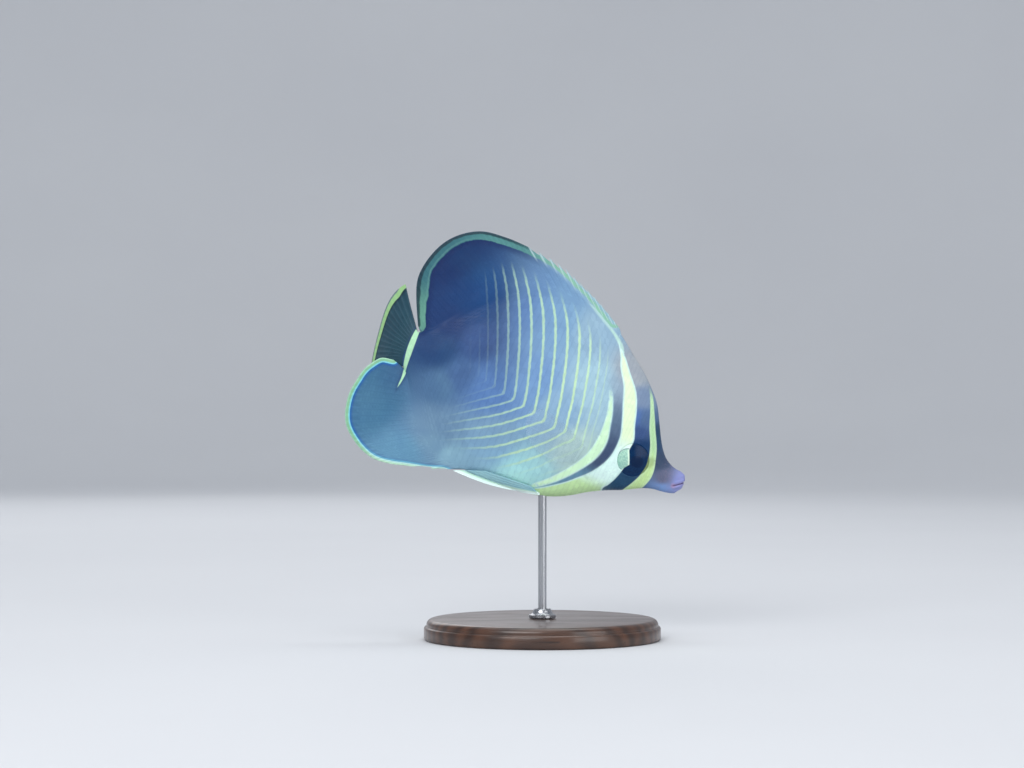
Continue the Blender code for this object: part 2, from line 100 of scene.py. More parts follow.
BACK = through(
    (59.4, -2.2), (58.6, -0.4), (57.0, 0.6), (54.0, 1.0), (51.3, 1.85), (49.2, 3.1),
    (47.2, 5.1), (45.0, 8.1), (41.8, 13.6), (38.0, 20.0), (33.2, 25.2), (28.5, 29.3),
    (22.8, 33.3), (18.0, 36.7), (13.3, 39.7), (6.0, 42.2), (-4.0, 43.6),
    (-16.0, 43.0), (-28.0, 38.8), (-38.0, 30.8), (-46.0, 20.2), (-52.0, 12.0),
    (-56.0, 8.9), (-60.0, 8.2),
)
BELLY = through(
    (59.4, -5.4), (58.6, -6.9), (56.5, -8.1), (53.0, -9.0), (49.4, -9.5),
    (46.5, -10.4), (43.0, -12.2), (39.0, -14.5), (33.0, -17.3), (27.5, -20.4),
    (20.9, -24.9), (14.2, -28.2), (8.0, -30.1), (0.0, -31.1), (-10.0, -31.7),
    (-20.0, -31.7), (-28.0, -30.3), (-36.0, -26.6), (-44.0, -20.0), (-50.0, -12.8),
    (-54.0, -7.6), (-57.0, -5.6), (-60.0, -5.2),
)
WIDEST = through(
    (60, -3.9), (50, -3.8), (38, -2.6), (26, -4.5), (12, -4.0), (-5, 0.0),
    (-30, 4.0), (-48, 2.6), (-57, 1.5), (-60, 1.5),
)
WIDTH = through(
    (59.4, 1.0), (58.8, 2.0), (57.5, 2.75), (55.0, 3.0), (51.5, 3.15), (48.0, 3.8),
    (43.0, 5.1), (37.7, 6.4), (31.0, 7.7), (24.0, 8.9), (17.0, 9.5), (8.0, 9.6),
    (-4.0, 8.9), (-16.0, 7.5), (-28.0, 5.8), (-40.0, 4.1), (-50.0, 2.9),
    (-57.0, 2.1), (-60.0, 1.7),
)
BACK_EDGE = through((60, 0.15), (20, 0.3), (12, 1.1), (0, 1.5), (-30, 1.4), (-54, 0.9), (-58, 0.5))
BELLY_EDGE = through((60, 0.15), (20, 0.3), (-14, 0.4), (-22, 1.2), (-40, 1.3), (-54, 0.9), (-58, 0.5))
BACK_ROUND = through((60, 0.5), (24, 0.56), (12, 0.8), (2, 1.12), (-48, 1.12), (-58, 0.6))
BELLY_ROUND = through((60, 0.5), (0, 0.56), (-14, 0.7), (-24, 1.12), (-48, 1.1), (-58, 0.6))

# Fins: at this spine or ray, the station of its base and the place of its tip.
DORSAL = (
    (0, 14.4, 13.2, 40.9), (2, 10.0, 6.0, 44.9), (4, 5.6, -1.4, 48.5),
    (6, 0.8, -8.3, 51.1), (8, -4.2, -15.2, 53.6), (10, -9.4, -22.6, 54.9),
    (12, -14.8, -31.0, 55.2), (16, -22.0, -41.5, 55.0), (20, -28.4, -50.4, 53.3),
    (24, -34.2, -58.0, 48.0), (28, -39.6, -62.9, 40.4), (31, -44.0, -64.9, 32.4),
    (34, -48.4, -64.4, 25.0), (36, -51.6, -61.8, 18.8), (38, -55.4, -57.8, 11.0),
)
ANAL = (
    (0, -19.0, -20.5, -32.3), (1, -21.0, -25.4, -34.6), (2, -23.4, -31.0, -36.9),
    (3, -26.2, -37.8, -38.9), (6, -30.4, -45.6, -41.3), (10, -35.4, -54.4, -41.9),
    (13, -39.2, -61.4, -39.2), (16, -42.8, -67.5, -34.1), (19, -46.2, -70.5, -26.3),
    (22, -49.8, -70.5, -18.0), (24, -52.2, -68.6, -10.4), (25, -53.8, -65.5, -6.0),
    (26, -55.3, -61.0, -4.8),
)
FAN_TOP, FAN_BOTTOM, FAN_REAR, FAN_CORNER = 23.4, -18.2, -77.4, 6.8


def columns(table):
    return tuple(through(*((row[0], row[c]) for row in table)) for c in (1, 2, 3))


DORSAL_BASE, DORSAL_X, DORSAL_Z = columns(DORSAL)
ANAL_BASE, ANAL_X, ANAL_Z = columns(ANAL)


def half_width(x, z):
    top, low, mid = BACK(x), BELLY(x), WIDEST(x)
    up = z >= mid
    v = np.clip(np.where(up, (z - mid) / (top - mid), (z - mid) / (low - mid)), 0, 1)
    edge = np.where(up, BACK_EDGE(x), BELLY_EDGE(x))
    power = np.where(up, BACK_ROUND(x), BELLY_ROUND(x))
    return edge + (WIDTH(x) - edge) * (1 - v**SECTION) ** power


def sweep(s, z=1.5, steps=24):
    s = np.maximum(np.asarray(s, float), 0.0)
    z = np.broadcast_to(np.asarray(z, float), s.shape)
    k = 1 - BEND_TWIST * (z - 1.5) / 20

    def angle(d):
        return k * BEND_ANGLE * (1 - np.cos(math.pi * np.minimum(d / BEND_LENGTH, 1))) / 2

    cx, cy = np.zeros(s.shape), np.zeros(s.shape)
    for j in range(steps):
        a = angle(s * (j + 0.5) / steps)
        cx -= np.cos(a) * s / steps
        cy += np.sin(a) * s / steps
    return BEND_START + cx, cy, angle(s)


def bend(x, y, z):
    x, y, z = (np.asarray(v, float) for v in (x, y, z))
    s = BEND_START - x
    cx, cy, a = sweep(s, z)
    return np.stack(
        [np.where(s <= 0, x, cx + y * np.sin(a)), np.where(s <= 0, y, cy + y * np.cos(a)), z + 0 * x],
        axis=-1,
    )


# ---------------------------------------------------------------- relief of the skin
COVER_CENTRE, COVER_HALF, COVER_LEAN = (26.2, -5.4), (4.7, 10.6), math.radians(-6.0)


def cover_distance(x, z):
    """About how far outside the gill cover's outline a point is, mm, and how far back."""
    dx, dz = x - COVER_CENTRE[0], z - COVER_CENTRE[1]
    a = dx * math.cos(COVER_LEAN) + dz * math.sin(COVER_LEAN)
    b = -dx * math.sin(COVER_LEAN) + dz * math.cos(COVER_LEAN)
    r = (np.abs(a / COVER_HALF[0]) ** 2.5 + np.abs(b / COVER_HALF[1]) ** 2.5) ** 0.4
    return (r - 1) * COVER_HALF[0], a


def mouth_slit(x):
    """Height of the closed mouth, which runs down and back from the tip."""
    return -2.55 - 0.78 * np.clip(59.2 - x, 0, 3.9)


def relief(x, z):
    """Everything the plain flank lacks, as mm outward."""
    x, z = np.asarray(x, float), np.asarray(z, float)
    out = np.zeros(np.broadcast(x, z).shape)
    # Gill cover: its rear edge stands over a groove, its front edge is a soft crease.
    d, a = cover_distance(x, z)
    rear = smooth(1.5, -2.0, a)
    out += rear * (0.30 * smooth(0.12, -0.22, d) * smooth(-4.2, -1.0, d) - 0.30 * np.exp(-(((d - 0.28) / 0.30) ** 2)))
    out -= (1 - rear) * 0.16 * np.exp(-((d / 0.38) ** 2))
    # Cheek: a second crease along the preopercle and a faint one under the eye.
    e = x - (31.6 + 0.016 * (z + 3) ** 2 * (z < -3))
    out -= 0.14 * np.exp(-((e / 0.42) ** 2)) * smooth(-18, -14, z) * smooth(1.5, -3.5, z)
    r = np.hypot(x - EYE[0], z - EYE[1])
    out -= 0.10 * np.exp(-(((r - 9.0) / 0.7) ** 2)) * smooth(-1, -5, z) * smooth(30, 33, x)
    # Orbit: a low fold round the eye, and a cup that the eye sits in.
    out += 0.20 * np.exp(-(((r - EYE_RADIUS - 0.32) / 0.46) ** 2)) * (r > EYE_RADIUS - 0.2)
    out -= np.where(r < EYE_RADIUS - 0.05, 0.60 + 2.0 * smooth(EYE_RADIUS, EYE_RADIUS - 1.3, r), 0.0)
    # Nostrils: a pair of rimmed pits before the eye.
    for nx, nz, size in ((45.35, 0.35, 0.34), (46.35, -0.55, 0.26)):
        q = np.hypot(x - nx, z - nz)
        out += 0.14 * np.exp(-(((q - size - 0.22) / 0.16) ** 2)) - 0.42 * np.exp(-((q / size) ** 2))
    # Lips: two soft rolls either side of the oblique slit, and the folds behind them.
    q = z - mouth_slit(x)
    lip = smooth(55.0, 56.8, x)
    out += lip * (0.30 * np.exp(-(((q - 1.15) / 0.62) ** 2)) + 0.30 * np.exp(-(((q + 1.10) / 0.60) ** 2)))
    out -= 0.16 * lip * (np.exp(-(((q - 2.25) / 0.40) ** 2)) + np.exp(-(((q + 2.15) / 0.40) ** 2)))
    out -= 0.85 * smooth(54.9, 56.0, x) * np.exp(-((q / 0.20) ** 2))
    fold = x - (54.6 - 0.16 * np.abs(q))
    out -= 0.20 * np.exp(-((fold / 0.34) ** 2)) * smooth(0.6, -0.6, z) * smooth(-8.4, -7.4, z)
    fold = x - (51.6 - 0.20 * np.abs(z - MOUTH_LINE))
    out -= 0.10 * np.exp(-((fold / 0.50) ** 2)) * smooth(0.2, -1.2, z) * smooth(-9.0, -7.6, z)
    # The flank hollows softly into the roots of the median fins.
    t = np.maximum(BACK(x) - z, 0) / 2.5
    out -= 0.60 * t * t * np.exp(-t) * smooth(15, 0, x) * smooth(-57, -46, x)
    t = np.maximum(z - BELLY(x), 0) / 2.5
    out -= 0.54 * t * t * np.exp(-t) * smooth(-17, -30, x) * smooth(-57, -48, x)
    # Fleshy root of the pectoral fin.
    t = np.clip((-5.2 - z) / 7.0, 0, 1)
    out += 0.50 * np.exp(-(((x - 18.6 + 1.2 * t) / 0.9) ** 2)) * smooth(-13.4, -11.6, z) * smooth(-3.8, -5.6, z)
    # Lateral line: a low arched thread under the back.
    line = z - (33.0 - 0.017 * (x + 6) ** 2 - 6.5 * smooth(8, 22, x))
    out += 0.05 * np.exp(-((line / 0.3) ** 2)) * smooth(20, 16, x) * smooth(-40, -34, x)
    return out


def blunt(x):
    """Rounds the very tip of the snout."""
    return np.sqrt(np.clip(1 - ((np.maximum(x, 58.3) - 58.3) / 1.12) ** 2, 0.02, 1))


def body_half(x, z):
    return np.maximum((half_width(x, z) - COAT + relief(x, z)) * blunt(x), 0.05)


def body_surface(x, z, side):
    """A point of the skin on one side, side -1 right or 1 left."""
    return bend(x, side * body_half(x, z), z)


def spine_reach(number, spines):
    """How far the membrane goes up each spine: notched behind it, rising to the next."""
    f = number - np.floor(number)
    notch = np.interp(f, [0, 0.07, 0.2, 0.45, 0.8, 0.93, 1.0], [1, 0.86, 0.80, 0.81, 0.89, 0.955, 1.0])
    notch = 1 - (1 - notch) * (1 - 0.62 * smooth(8, 12, number))
    first = np.where(number < 1, np.maximum(notch, 0.9), notch)
    return np.where(number < spines, first, 1.0)


def fin_surface(number, v, which, ray_relief=True):
    """Middle, half thickness, facing, and the straight fish's x and z, of a median fin."""
    if which == "dorsal":
        base_f, tx_f, tz_f, contour, edge, turn, sway, spines = (
            DORSAL_BASE, DORSAL_X, DORSAL_Z, BACK, BACK_EDGE, 0.35, 0.3, SPINES)
    else:
        base_f, tx_f, tz_f, contour, edge, turn, sway, spines = (
            ANAL_BASE, ANAL_X, ANAL_Z, BELLY, BELLY_EDGE, -0.7, -1.2, ANAL_SPINES)
    base_x, tip_x, tip_z = base_f(number), tx_f(number), tz_f(number)
    base_z = contour(base_x)
    length = spine_reach(number, spines)
    w = v * (1 - (1 - length) * v)
    root = bend(base_x, 0 * base_x, base_z)
    a = turn * sweep(BEND_START - base_x)[2]
    dx, dz = (tip_x - base_x) * w, (tip_z - base_z) * w
    reach = np.hypot(tip_x - base_x, tip_z - base_z)
    y = sway * (reach * w / 22.0) ** 2
    middle = np.stack([root[..., 0] + dx * np.cos(a), root[..., 1] - dx * np.sin(a) + y, base_z + dz], axis=-1)
    half = FIN_EDGE + (np.maximum(edge(base_x), FIN_EDGE) - FIN_EDGE) * (1 - w) ** 1.5 - COAT
    if ray_relief:
        d = np.abs(number - np.round(number))
        soft = 0.055 * np.exp(-((d / 0.17) ** 2)) * (1 - 0.5 * w)
        hard = 0.26 * np.exp(-((d / 0.085) ** 2)) * (1 - 0.55 * w) * smooth(0.0, 0.25, w)
        real = (np.round(number) >= 1) & (np.round(number) <= spines)
        half = half + np.where(real, hard, np.where(number > spines, soft, 0)) * smooth(0, 0.3, w)
        half = half - 0.04 * smooth(0.2, 0.6, w) * (1 - np.exp(-((d / 0.25) ** 2)))
    facing = np.stack([np.sin(a), np.cos(a), 0 * a], axis=-1)
    return middle, np.maximum(half, 0.07), facing, base_x + dx, base_z + dz, reach * length * (1 - v)


def on_fin(x, z, which):
    """Ray number and height up it, of a point of the straight fish's plane beyond the body."""
    base_f, tx_f, tz_f, contour, last = (
        (DORSAL_BASE, DORSAL_X, DORSAL_Z, BACK, DORSAL_RAYS) if which == "dorsal" else (ANAL_BASE, ANAL_X, ANAL_Z, BELLY, ANAL_RAYS))
    table = np.linspace(0, last, 500)
    stations_at = base_f(table)[::-1]
    n = np.interp(x, stations_at, table[::-1])
    w = np.zeros(np.shape(x))
    for _ in range(9):
        base = base_f(n)
        base_z = contour(base)
        w = np.clip((z - base_z) / (tz_f(n) - base_z), 0, 0.9)
        n = 0.4 * n + 0.6 * np.interp((x - tx_f(n) * w) / (1 - w), stations_at, table[::-1])
    return n, w


def flank(x, z, side):
    """The same, carried on up or down the root of a median fin."""
    inner = np.clip(z, BELLY(x), BACK(x))
    p = body_surface(x, inner, side)
    for which, beyond in (("dorsal", z > BACK(x)), ("anal", z < BELLY(x))):
        if beyond.any():
            n, w = on_fin(x[beyond], z[beyond], which)
            m, h, f, _, _, _ = fin_surface(n, w, which, ray_relief=False)
            p[beyond] = m + side * f * h[:, None]
    return p


def fan_surface(across, along, ray_relief=True):
    """The tail fan's straight x and z and its half thickness."""
    mid = (FAN_TOP + FAN_BOTTOM) / 2
    tip_z = mid + (FAN_TOP - FAN_BOTTOM) / 2 * across
    tip_x = FAN_REAR + FAN_CORNER * np.abs(across) ** 3.5
    root_z = (BACK(FAN_ROOT) + BELLY(FAN_ROOT)) / 2 + (BACK(FAN_ROOT) - BELLY(FAN_ROOT)) / 2 * across
    x = FAN_ROOT + (tip_x - FAN_ROOT) * along
    z = root_z + (tip_z - root_z) * along
    body = half_width(np.full(np.shape(x), FAN_ROOT), root_z)
    half = FIN_EDGE + np.maximum(body - FIN_EDGE, 0.1) * (1 - along) ** 1.9 - COAT
    if ray_relief:
        n = (across + 1) * 8
        d = np.abs(n - np.round(n))
        fork = smooth(0.35, 0.6, along)
        d2 = np.abs(d - 0.20 * fork)
        half = half + 0.075 * np.exp(-((d2 / (0.16 - 0.05 * fork)) ** 2)) * smooth(0.0, 0.2, along) * (1 - 0.5 * along)
        half = half - 0.02 * smooth(0.2, 0.5, along)
    return x, z, np.maximum(half, 0.07)


# ---------------------------------------------------------------- markings
# Edges of the bars: at a height, the stations of a bar's rear and front edge.
def bar(*rows):
    return through(*((r[0], r[1]) for r in rows)), through(*((r[0], r[2]) for r in rows))


BAR_A = bar(
    (36.5, 13.9, 14.0), (33.2, 16.3, 17.9), (27.2, 19.2, 23.3), (21.5, 22.9, 28.3),
    (16.2, 25.0, 30.9), (9.7, 27.5, 33.0), (3.5, 29.4, 35.0), (0.7, 29.6, 34.6),
    (-5.4, 28.9, 35.6), (-10.6, 26.5, 34.7), (-14.9, 23.2, 32.9), (-17.0, 21.1, 31.6),
    (-19.7, 18.4, 33.0), (-23.8, 13.3, 40.0), (-27.6, 7.6, 40.0), (-31.0, 1.0, 40.0),
)
BAR_C = bar(
    (21.0, 16.7, 16.8), (19.1, 17.8, 19.0), (13.4, 20.2, 22.2), (5.9, 21.7, 24.5),
    (-0.8, 21.8, 25.8), (-8.3, 20.1, 24.2), (-12.5, 17.9, 21.8), (-17.7, 14.3, 18.0),
    (-22.5, 10.3, 13.6), (-25.3, 7.4, 10.4), (-28.5, 3.8, 6.0),
)
BAR_D = bar(
    (26.5, 31.2, 31.6), (23.4, 33.1, 34.2), (17.2, 36.0, 37.8), (11.2, 38.3, 40.9),
    (4.9, 41.4, 44.2), (0.7, 42.7, 45.6), (-2.1, 43.1, 46.4), (-5.5, 42.7, 46.7),
    (-10.6, 40.8, 45.4), (-14.4, 38.8, 43.6), (-17.0, 37.6, 42.0),
)
TAIL_BAR = through((9.5, -56.9), (7.6, -56.7), (0, -56.0), (-5, -55.5), (-9.5, -55.0), (-14, -55.2))
TAIL_BAR_HALF = through((10, 0.85), (4, 1.15), (0, 1.1), (-5, 0.78), (-9.5, 0.45), (-13.6, 0.02), (-16, -0.8), (-20, -3.0))


# The thread that carries bar A on up along the back: its height and half its width.
THREAD_Z = through(
    (-4.0, 45.8), (2.6, 43.4), (7.8, 40.7), (11.1, 38.8), (14.3, 36.6), (16.8, 34.3), (18.4, 32.0), (19.2, 30.0),
)
THREAD_HALF = through((-5, -0.8), (-1, 0.1), (2.6, 0.62), (6, 0.55), (11, 0.48), (14.3, 0.62), (16.8, 0.62), (18.4, 0.3), (19.2, -0.6), (22, -3))


def inside(bars, x, z):
    """Signed distance in from a bar's nearer edge, mm."""
    rear, front = bars[0](z), bars[1](z)
    slope = (bars[0](z + 0.5) - bars[0](z - 0.5) + bars[1](z + 0.5) - bars[1](z - 0.5)) / 2
    return np.minimum(x - rear, front - x) / np.hypot(1, slope)


# The chevrons' upper arms: at a height, where line 5 runs and how far apart lines are.
UPPER_X = through(
    (-10, 2.0), (-4, 1.1), (2, -0.1), (6, -1.0), (10, -2.0), (14, -3.2), (18, -4.45), (22, -5.8),
    (26, -7.2), (30, -8.9), (34, -10.8), (38, -13.2), (42, -16.2), (46, -19.4), (54, -26.5),
)
UPPER_GAP = through((-10, 4.3), (2, 4.33), (10, 4.5), (18, 4.65), (26, 4.8), (34, 4.9), (42, 4.8), (54, 4.6))
CROWD = through((-40, -44), (-9.5, -10.2), (-7.3, -7.9), (-6.55, -7), (-5.83, -6), (-4.98, -5), (-3.06, -3), (0, 0), (2.96, 3), (3.8, 4), (4.45, 5), (5.0, 6), (8, 11.5), (30, 52))
# The lower arms: at a station, how high line 5 runs and how far apart lines are.
LOWER_Z = through(
    (20, 24.5), (14, 14.2), (10, 8.8), (6, 2.7), (2, -1.7), (-2, -5.2), (-6, -8.9), (-10, -12.4),
    (-14, -15.4), (-18, -17.9), (-22, -20.1), (-26, -22.2), (-30, -24.3), (-40, -29.5),
)
LOWER_GAP = through(
    (20, 6.9), (14, 6.2), (10, 5.8), (6, 5.5), (2, 5.35), (-2, 5.45), (-6, 5.25), (-10, 5.1),
    (-14, 4.75), (-18, 4.45), (-22, 4.22), (-26, 3.95), (-30, 3.65), (-40, 2.9),
)


# At a station, how high up the lines fade out.
UPPER_END = through(
    (-62, 26), (-50, 33), (-42, 41), (-37.5, 45.8), (-28.7, 47.4), (-19.5, 46.0), (-6.5, 42.0), (1.5, 38.0), (9, 34.5), (16, 30),
)


def chevron(x, z):
    """Number of the chevron line through a point, whole on a line, and its strength."""
    upper = 5 + CROWD((x - UPPER_X(z)) / UPPER_GAP(z))
    lower = 5 + (LOWER_Z(x) - z) / LOWER_GAP(x)
    c = (upper + lower + np.sqrt((upper - lower) ** 2 + 0.004)) / 2
    above = smooth(-0.25, 0.25, upper - lower)
    amp = np.interp(c, [-3.7, -3, -2, -1, 0, 1, 2, 3, 4, 7, 8, 9, 10, 10.7], [0, 0.02, 0.05, 0.09, 0.21, 0.44, 0.76, 0.95, 1, 1, 0.92, 0.6, 0.32, 0])
    high = smooth(1.2, -7.0, z - UPPER_END(x)) * (1 - smooth(-0.9, -2.0, c) * smooth(10, 23, z))
    low = np.interp(x, [-34, -30, -26, -22, -18, -12, -6], [0.0, 0.18, 0.38, 0.6, 0.8, 0.95, 1]) * smooth(-28.0, -18.0, z)
    low = low * (1 - 0.6 * smooth(7.6, 9.2, c))
    return c, np.clip(amp * (above * high + (1 - above) * low), 0, 1)


def srgb(r, g, b):
    return tuple((v / 255 / 12.92) if v <= 10.3 else ((v / 255 + 0.055) / 1.055) ** 2.4 for v in (r, g, b))


# Ground tones of the fish by region: (station, height), reach in mm and tone.
TONES = (
    ("flank_front", (3, 4), 9, (143, 178, 204)), ("flank", (-8, 8), 10, (117, 155, 198)),
    ("flank_rear", (-22, 2), 9, (92, 130, 182)), ("shoulder", (12, 16), 9, (163, 197, 211)),
    ("behind_cover", (16, -8), 7, (182, 209, 203)), ("belly", (2, -26), 9, (162, 208, 209)),
    ("flank_low", (-14, -18), 8, (126, 161, 187)),
    ("lower_rear", (-35, -24), 9, (112, 145, 172)), ("anal_lobe", (-62, -22), 9, (69, 119, 150)),
    ("anal_front", (-44, -36), 8, (101, 149, 178)), ("rear", (-47, 7), 8, (31, 66, 112)),
    ("rear_step", (-41, -7), 6, (84, 120, 154)), ("rise_front", (-34, 14), 7, (54, 84, 134)), ("rear_soft", (-35, 1), 6, (72, 104, 148)),
    ("low_edge", (-26, -30), 5, (136, 174, 192)), ("rear_rise", (-48, 17), 8, (24, 56, 106)), ("rear_upper", (-42, 30), 11, (19, 59, 110)), ("dorsal_lobe", (-56, 40), 10, (12, 44, 94)),
    ("upper_flank", (-14, 34), 11, (123, 161, 194)), ("back_front", (5, 36), 7, (150, 181, 199)),
    ("nape", (24, 29), 6, (165, 172, 178)), ("band_top", (31, 21), 3.5, (128, 148, 174)),
    ("band_upper", (35.5, 13), 3.4, (84, 112, 150)), ("band_mid", (35.8, 8), 3, (70, 96, 140)), ("band_blue", (32.6, 12.5), 3.0, (82, 116, 172)),
    ("band_eye", (38.5, 2), 4.5, (6, 56, 100)),
    ("band_low", (37, -11), 4.5, (38, 76, 107)), ("forehead", (42.5, 11), 2.6, (45, 78, 108)),
    ("snout_root", (47.6, 1), 2.8, (62, 79, 104)), ("snout", (51, -4.0), 3.0, (100, 106, 130)),
    # The lips' lavender tone is partly their own colour and partly a painted highlight on the snout's tip.
    ("lips", (58, -3.6), 2.4, (128, 141, 198)), ("chin", (52.5, -8.6), 3.4, (118, 152, 203)),
)


# Soft shades over them: place, reach along and up, factor.
SHADES = (
    ((-23.5, 31), (7.5, 17), (0.55, 0.61, 0.80)), ((-22, 11), (9, 8), (0.84, 0.84, 0.82)),
    ((-37.5, 37), (7, 13), (1.56, 1.58, 1.38)), ((-48, 42), (7, 7), (1.35, 1.32, 1.12)),
    ((-54, 42), (6, 6), (1.10, 1.25, 1.08)), ((-8, -23), (16, 7), (1.18, 1.24, 1.20)),
    ((2, -27), (7, 4), (1.20, 1.18, 1.08)), ((-57, -12), (8, 8), (0.80, 0.77, 0.86)),
    ((36, 8), (4, 4), (0.70, 0.78, 0.88)), ((-34, -28), (6, 5), (1.12, 1.14, 1.06)),
    ((-43, 6), (5, 5), (1.14, 1.18, 1.08)), ((-65, -23), (8, 9), (1.25, 1.10, 1.06)),
)


def ground(x, z):
    total, weight = 0.0, 0.0
    for _, (cx, cz), reach, tone in TONES:
        d2 = ((x - cx) ** 2 + (z - cz) ** 2) / reach**2
        w = 1 / (0.05 + d2) ** 2.2
        total = total + w[..., None] * np.array(srgb(*tone))
        weight = weight + w
    total = total / weight[..., None]
    for (cx, cz), (rx, rz), factor in SHADES:
        w = np.exp(-(((x - cx) / rx) ** 2) - ((z - cz) / rz) ** 2)
        total = total * (1 + (np.array(factor) - 1) * w[..., None])
    return total


LINES = {}
for key, (n0, n1, fx, fz) in {
    "dorsal": (0, DORSAL_RAYS, DORSAL_X, DORSAL_Z),
    "anal": (0, ANAL_RAYS, ANAL_X, ANAL_Z),
}.items():
    number = np.linspace(n0, n1, 260)
    LINES[key] = np.stack([fx(number), fz(number)], axis=-1)
LINES["dorsal"] = LINES["dorsal"][6:]


def margin_distance(x, z, key):
    """Distance to a fin's margin in the straight fish's plane, mm."""
    x, z = x.ravel(), z.ravel()
    line = LINES[key]
    a, b = line[:-1], line[1:]
    ab = b - a
    out = np.full(len(x), 60.0)
    near = (x < 18) & (np.abs(z) > 2)
    idx = np.nonzero(near)[0]
    for chunk in np.array_split(idx, max(1, len(idx) // 8000)):
        p = np.stack([x[chunk], z[chunk]], axis=-1)[:, None, :]
        t = np.clip(((p - a) * ab).sum(-1) / (ab * ab).sum(-1), 0, 1)
        q = a + t[..., None] * ab
        out[chunk] = np.sqrt(((p - q) ** 2).sum(-1)).min(axis=1)
    return out


def marks(x, z, region, hind=None, ray=None, web=None):
    """Every smooth field that the skin and scale materials read, one value a point."""
    x, z = np.asarray(x, float).ravel(), np.asarray(z, float).ravel()
    c, amp = chevron(x, z)
    c = c + 0.018 * np.sin(z * 2.1 + 1.3 * np.sin(x * 0.45)) + 0.014 * np.sin(x * 1.3 + z * 0.9)
    n = len(x)
    fields = {
        "chev": c,
        "chev_on": amp,
        "bar_a": inside(BAR_A, x, z) * (1 if region != "fan" else 0) - (0 if region != "fan" else 9),
        "bar_c": inside(BAR_C, x, z),
        "bar_d": inside(BAR_D, x, z),
        "bar_b1": x - BAR_C[1](z),
        "bar_b2": BAR_A[0](z) - x,
        "bar_b_on": smooth(31.0, 12.0, z) * (0.55 + 0.45 * smooth(-26, -20, z)),
        "bar_t": x - TAIL_BAR(z),
        "bar_h": TAIL_BAR_HALF(z),
        "thread": (z - THREAD_Z(x)) / np.hypot(1, (THREAD_Z(x + 0.3) - THREAD_Z(x - 0.3)) / 0.6),
        "thread_h": THREAD_HALF(x) if region != "fan" else np.full(n, -9.0),
        "edge_d": margin_distance(x, z, "dorsal") if region != "fan" else np.full(n, 60.0),
        "edge_a": margin_distance(x, z, "anal") if region != "fan" else np.full(n, 60.0),
        "edge_t": np.full(n, 60.0) if hind is None else hind.ravel(),
        "ray": np.zeros(n) if ray is None else ray.ravel(),
        "web": np.zeros(n) if web is None else web.ravel(),
        "fan": np.full(n, 1.0 if region == "fan" else 0.0),
        "fx": x,
        "fz": z,
    }
    fields["bar_a"] = np.where((z < -17) & (fields["edge_a"] < 3), -9, fields["bar_a"])
    return fields, ground(x, z)


# ---------------------------------------------------------------- mesh building
def world(p):
    """Fish frame in mm to the row's frame in metres."""
    c, s = math.cos(PITCH), math.sin(PITCH)
    return np.stack([SHIFT + p[..., 0] * c + p[..., 2] * s, p[..., 1], LIFT - p[..., 0] * s + p[..., 2] * c], axis=-1) * MM


def build(name, points, faces, fields=None, colour=None, uv=None, corner_uv=None):
    """An object from points in metres and a list of quad or triangle index arrays."""
    mesh = bpy.data.meshes.new(name)
    mesh.vertices.add(len(points))
    mesh.vertices.foreach_set("co", np.asarray(points, np.float32).ravel())
    loops = np.concatenate([f.ravel() for f in faces]).astype(np.int32)
    sizes = np.concatenate([np.full(len(f), f.shape[1]) for f in faces]).astype(np.int32)
    starts = np.concatenate([[0], np.cumsum(sizes)[:-1]]).astype(np.int32)
    mesh.loops.add(len(loops))
    mesh.loops.foreach_set("vertex_index", loops)
    mesh.polygons.add(len(sizes))
    mesh.polygons.foreach_set("loop_start", starts)
    mesh.polygons.foreach_set("loop_total", sizes)
    mesh.update(calc_edges=True)
    mesh.polygons.foreach_set("use_smooth", np.ones(len(sizes), bool))
    if uv is not None:
        layer = mesh.uv_layers.new(name="OFBake")
        corner = uv[loops] if corner_uv is None else corner_uv
        layer.data.foreach_set("uv", np.asarray(corner, np.float32).ravel())
    for key, values in (fields or {}).items():
        mesh.attributes.new(key, "FLOAT", "POINT").data.foreach_set("value", np.asarray(values, np.float32).ravel())
    if colour is not None:
        rgba = np.concatenate([colour, np.ones((len(colour), 1))], axis=1)
        mesh.attributes.new("ground", "FLOAT_COLOR", "POINT").data.foreach_set("color", rgba.astype(np.float32).ravel())
    made = bpy.data.objects.new(name, mesh)
    bpy.context.scene.collection.objects.link(made)
    return made


def turn_out(faces, points, flip=None):
    """Turns a closed mesh's faces outward by its signed volume."""
    volume = 0.0
    for f in faces:
        p = points[f]
        for k in range(1, f.shape[1] - 1):
            volume += np.einsum("ij,ij->", p[:, 0], np.cross(p[:, k], p[:, k + 1]))
    return [f[:, ::-1] for f in faces] if volume < 0 else faces


# ---------------------------------------------------------------- one skin for all flesh
HALF = 49  # levels from the widest height to a ridge
FIN_LEVELS = 23


def station_u(x):
    """Where a station falls along the skin's unwrap."""
    return 0.02 + 0.96 * (60.0 - np.asarray(x, float)) / 145.0


def side_v(level, side):
    """Where a level, -2 anal margin, -1 belly, 1 back, 2 dorsal margin, falls across it."""
    t = (np.asarray(level, float) + 2) / 4
    return (0.02 + 0.46 * t) if side < 0 else (0.52 + 0.46 * t)


head_x = [59.40, 59.37, 59.3, 59.18, 59.0, 58.8, 58.55, 58.3, 58.0, 57.65, 57.3]
head_x += list(np.arange(56.95, 46.9, -0.36)) + list(np.arange(46.9, 29.6, -0.30))
head_x += list(np.linspace(29.5, 14.85, 30))
spine_steps = [0, 0.07, 0.2, 0.4, 0.6, 0.8, 0.93]
numbers = [k + f for k in range(SPINES) for f in spine_steps]
numbers += list(np.linspace(SPINES, DORSAL_RAYS, (DORSAL_RAYS - SPINES) * 6 + 1))
tail_x = [-55.75, -56.1, -56.45, -56.75]
fan_s = list(np.linspace(0, 1, 34))

levels = 2 * HALF + 1
t = np.linspace(-1, 1, levels)


